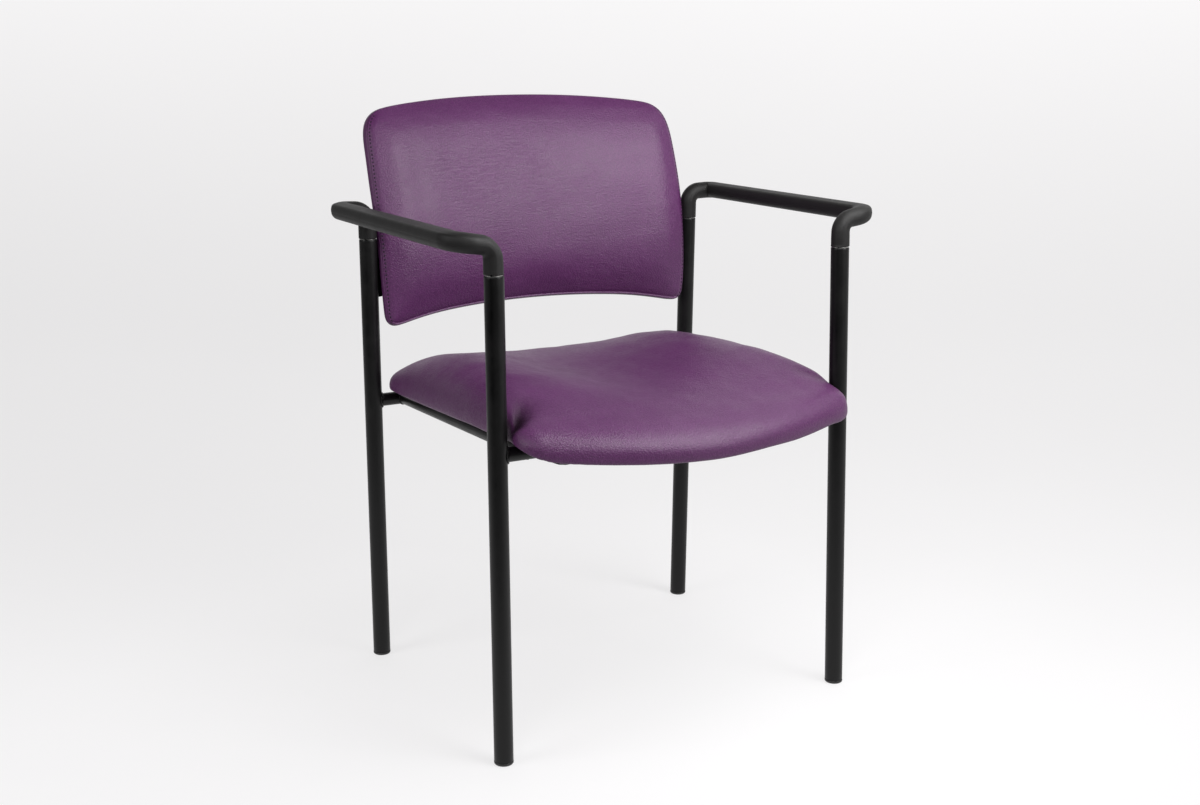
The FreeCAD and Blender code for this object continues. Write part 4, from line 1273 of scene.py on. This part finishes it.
        # square to the board the band is T thick, so along y a little more
        return back_board(x, z) + band_t(z) * 1.03 + 3.0 * (1 - np.exp(-np.maximum(d - 5, 0) / 14.0))
    for d in (8, 12, 17, 23, 30):
        f = d / d0
        k = smoothstep(0.12, 1.0, f)
        xz = (O + nrm * d) * (1 - k) + (O + (A - O) * f) * k
        base = B.add(np.column_stack([xz[:, 0] + 0.9 * Nb[:, 0] * T * (1 - f), rear_y(xz[:, 0], xz[:, 1], d), xz[:, 1] + 0.9 * Nb[:, 2] * T * (1 - f)]))
        B.loft(prev, base)
        prev = base
    dA = dist(A[:, 0], A[:, 1])
    cur = B.add(np.column_stack([A[:, 0], rear_y(A[:, 0], A[:, 1], np.full(len(A), d0)), A[:, 1]]))
    B.loft(prev, cur)
    inner = np.stack([plan[..., 0], rear_y(plan[..., 0], plan[..., 1], np.maximum(dist(plan[..., 0], plan[..., 1]), d0)), plan[..., 1]], -1)
    coons_fill(B, cur, n, inner)
    V, F = B.verts(), B.faces()
    E = edges_of(F)
    w = np.ones(len(V))
    lo, hi = rows[15.5][0], rows["band1.000"][-1]
    w[lo:hi + 1] = 0.0
    V = laplace(V, E, w, 12, 0.5)
    # slow unevenness of the stretched front, and a few faint pull marks
    N = vertex_normals(V, F)
    mid = len(first) + 100
    if N[mid][1] > 0:
        N = -N
    front = np.zeros(len(V))
    front[:rows[8.4][-1] + 1] = 1.0
    x, z = V[:, 0], V[:, 2]
    un = 0.85 * wobble(V, 170.0, 15) + 0.22 * wobble(V, 52.0, 16)
    dep = un
    edge = np.exp(-np.maximum(dist(x, z), 0) / 40.0)
    s = x * 0.05 + z * 0.02
    dep = dep + 0.35 * edge * wobble(V, 26.0, 18)
    # side rolls with a faint fold inside them
    tall = smoothstep(560, 625, z) * (1 - smoothstep(768, 815, z))
    dep = dep + tall * (1.3 * np.exp(-0.5 * ((np.abs(x) - 217) / 17.0) ** 2) - 0.5 * np.exp(-0.5 * ((np.abs(x) - 187 - 0.02 * (z - 690)) / 9.0) ** 2))
    V = V + N * (dep * front * smoothstep(4, 30, dist(x, z)))[:, None]
    return V, F, rows, O, N


BACK_V, BACK_F, BACK_RINGS, BACK_O, BACK_N = build_back()
back = make("back_upholstery", BACK_V, BACK_F, VINYL)
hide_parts("back_cover_front", "back_cover_rear", "back_foam", "back_board")


def stitches(ring_pts, normals, pitch, length, r, keep):
    """Row of thread capsules sunk into the vinyl along a closed line."""
    P = ring_pts
    s = np.concatenate([[0], np.cumsum(np.linalg.norm(np.diff(np.vstack([P, P[:1]]), axis=0), axis=1))])
    L = s[-1]
    k = int(L / pitch)
    R2 = np.vstack([P, P[:1]])
    N2 = np.vstack([normals, normals[:1]])

    def at(t):
        t = t % L
        return np.array([np.interp(t, s, R2[:, c]) for c in range(3)])

    def nat(t):
        t = t % L
        v = np.array([np.interp(t, s, N2[:, c]) for c in range(3)])
        return v / np.linalg.norm(v)

    VV, FF, off = [], [], 0
    rng = np.random.RandomState(3)
    for i in range(k):
        c = (i + 0.5) * L / k + rng.uniform(-0.12, 0.12)
        if np.interp(c % L, s, np.append(keep, keep[0])) < 0.5:
            continue
        nn = nat(c)
        a, b = at(c - length / 2), at(c + length / 2)
        t = (b - a) / np.linalg.norm(b - a)
        side = np.cross(t, nn)
        B = Build()
        prev = None
        for f, rr, h in ((-0.5, 0.02, -0.42), (-0.47, 0.55, -0.30), (-0.40, 0.85, -0.10), (-0.25, 1.0, 0.10), (0, 1.0, 0.18), (0.25, 1.0, 0.10), (0.40, 0.85, -0.10), (0.47, 0.55, -0.30), (0.5, 0.02, -0.42)):
            p = at(c + f * length) + nn * (h * 1.0)
            an = np.arange(10) * 2 * math.pi / 10
            cur = B.add(p + r * rr * np.cos(an)[:, None] * side + r * rr * np.sin(an)[:, None] * nn)
            if prev is not None:
                B.loft(prev, cur)
            prev = cur
        v, f = B.verts(), B.faces()
        VV.append(v)
        FF += [[q + off for q in g] for g in f]
        off += len(v)
    return np.vstack(VV), FF


ids = BACK_RINGS[2.85]
sv, sf = stitches(BACK_V[ids], BACK_N[ids], 5.6, 3.1, 0.85, 1 - smoothstep(0.70, 0.93, np.abs(inward(BACK_O, 2.0)[:, 1])))
make("back_topstitch", sv, sf, THREAD, outward=False)

# --------------------------------------------------- materials of the CAD nodes
for node, material in (("back_bracket_left", COAT), ("back_bracket_right", COAT),
                       ("seat_screws", BLACK_ZINC), ("back_screws", BLACK_ZINC), ("seat_washers", BLACK_ZINC), ("seat_tee_nuts", ZINC), ("back_tee_nuts", ZINC)):
    ob = bpy.data.objects[node]
    if len(ob.material_slots) == 0:
        ob.data.materials.append(material)
    for sl in ob.material_slots:
        sl.material = material

# ----------------------------------------------------------------------- studio
AZ, EL = math.radians(-29.4648), math.radians(13.3431)
view_dir = np.array([-math.sin(AZ), math.cos(AZ)])
right_dir = np.array([math.cos(AZ), math.sin(AZ)])


def backdrop():
    """Seamless paper: level floor, wide curve, upright back."""
    prof = [(-9.0, 0.0), (-4.0, 0.0), (-1.0, 0.0), (1.0, 0.0), (2.2, 0.0)]
    r = 2.6
    for k in range(1, 25):
        a = math.pi / 2 * k / 24
        prof.append((2.2 + r * math.sin(a), r * (1 - math.cos(a))))
    prof.append((4.8, 5.5))
    verts, faces = [], []
    xs = np.linspace(-9, 9, 13)
    for d, z in prof:
        for x in xs:
            p = right_dir * x + view_dir * d
            verts.append((p[0], p[1], z))
    w = len(xs)
    for i in range(len(prof) - 1):
        for j in range(w - 1):
            a = i * w + j
            faces.append((a, a + 1, a + 1 + w, a + w))
    me = bpy.data.meshes.new("studio_backdrop")
    me.from_pydata(verts, [], faces)
    me.shade_smooth()
    me.materials.append(PAPER)
    o = bpy.data.objects.new("studio_backdrop", me)
    bpy.context.scene.collection.objects.link(o)
    return o


backdrop()


def area(name, loc, aim, size, size_y, power, colour=(1, 1, 1)):
    li = bpy.data.lights.new(name, "AREA")
    li.shape = "RECTANGLE"
    li.size, li.size_y = size, size_y
    li.energy = power
    li.color = colour
    o = bpy.data.objects.new(name, li)
    bpy.context.scene.collection.objects.link(o)
    o.location = loc
    o.rotation_mode = "QUATERNION"
    o.rotation_quaternion = (Vector(aim) - Vector(loc)).to_track_quat("-Z", "Y")
    o.visible_camera = False
    return o


def cam_pos(right, back, z):
    """Place given across and towards the camera from the chair."""
    p = right_dir * right - view_dir * back
    return (float(p[0]), float(p[1]), z)


area("softbox_over", cam_pos(0.44, 0.30, 1.18), (0, -0.03, 0.5), 0.9, 0.6, 12)
area("softbox_front", cam_pos(-0.40, 2.40, 1.80), (0, 0, 0.6), 0.9, 0.9, 17)
area("softbox_right", cam_pos(2.05, 1.30, 1.40), (0, 0, 0.6), 1.2, 1.2, 26)
area("softbox_left", cam_pos(-2.1, 1.3, 1.6), (0, 0, 0.6), 1.2, 1.6, 27)

world = bpy.data.worlds.new("studio")
bpy.context.scene.world = world
world.use_nodes = True
bg = next(n for n in world.node_tree.nodes if n.type == "BACKGROUND")
bg.inputs["Color"].default_value = (1.0, 1.0, 1.0, 1)
bg.inputs["Strength"].default_value = 0.052

cam_data = bpy.data.cameras.new("camera")
cam_data.lens = 46.593
cam_data.sensor_width = 36.0
cam_data.sensor_fit = "HORIZONTAL"
cam_data.clip_start, cam_data.clip_end = 0.05, 60.0
cam = bpy.data.objects.new("camera", cam_data)
bpy.context.scene.collection.objects.link(cam)
rgt = Vector((math.cos(AZ), math.sin(AZ), 0))
bck = Vector((math.sin(AZ) * math.cos(EL), -math.cos(AZ) * math.cos(EL), math.sin(EL)))
upv = bck.cross(rgt)
M = Matrix.Identity(4)
for r in range(3):
    M[r][0], M[r][1], M[r][2] = rgt[r], upv[r], bck[r]
M[0][3], M[1][3], M[2][3] = -1.07538, -1.88704, 0.92466
cam.matrix_world = M
bpy.context.scene.camera = cam
vs = bpy.context.scene.view_settings
vs.view_transform = "Standard"
vs.look = "None"
vs.exposure = 0.0
vs.gamma = 1.0
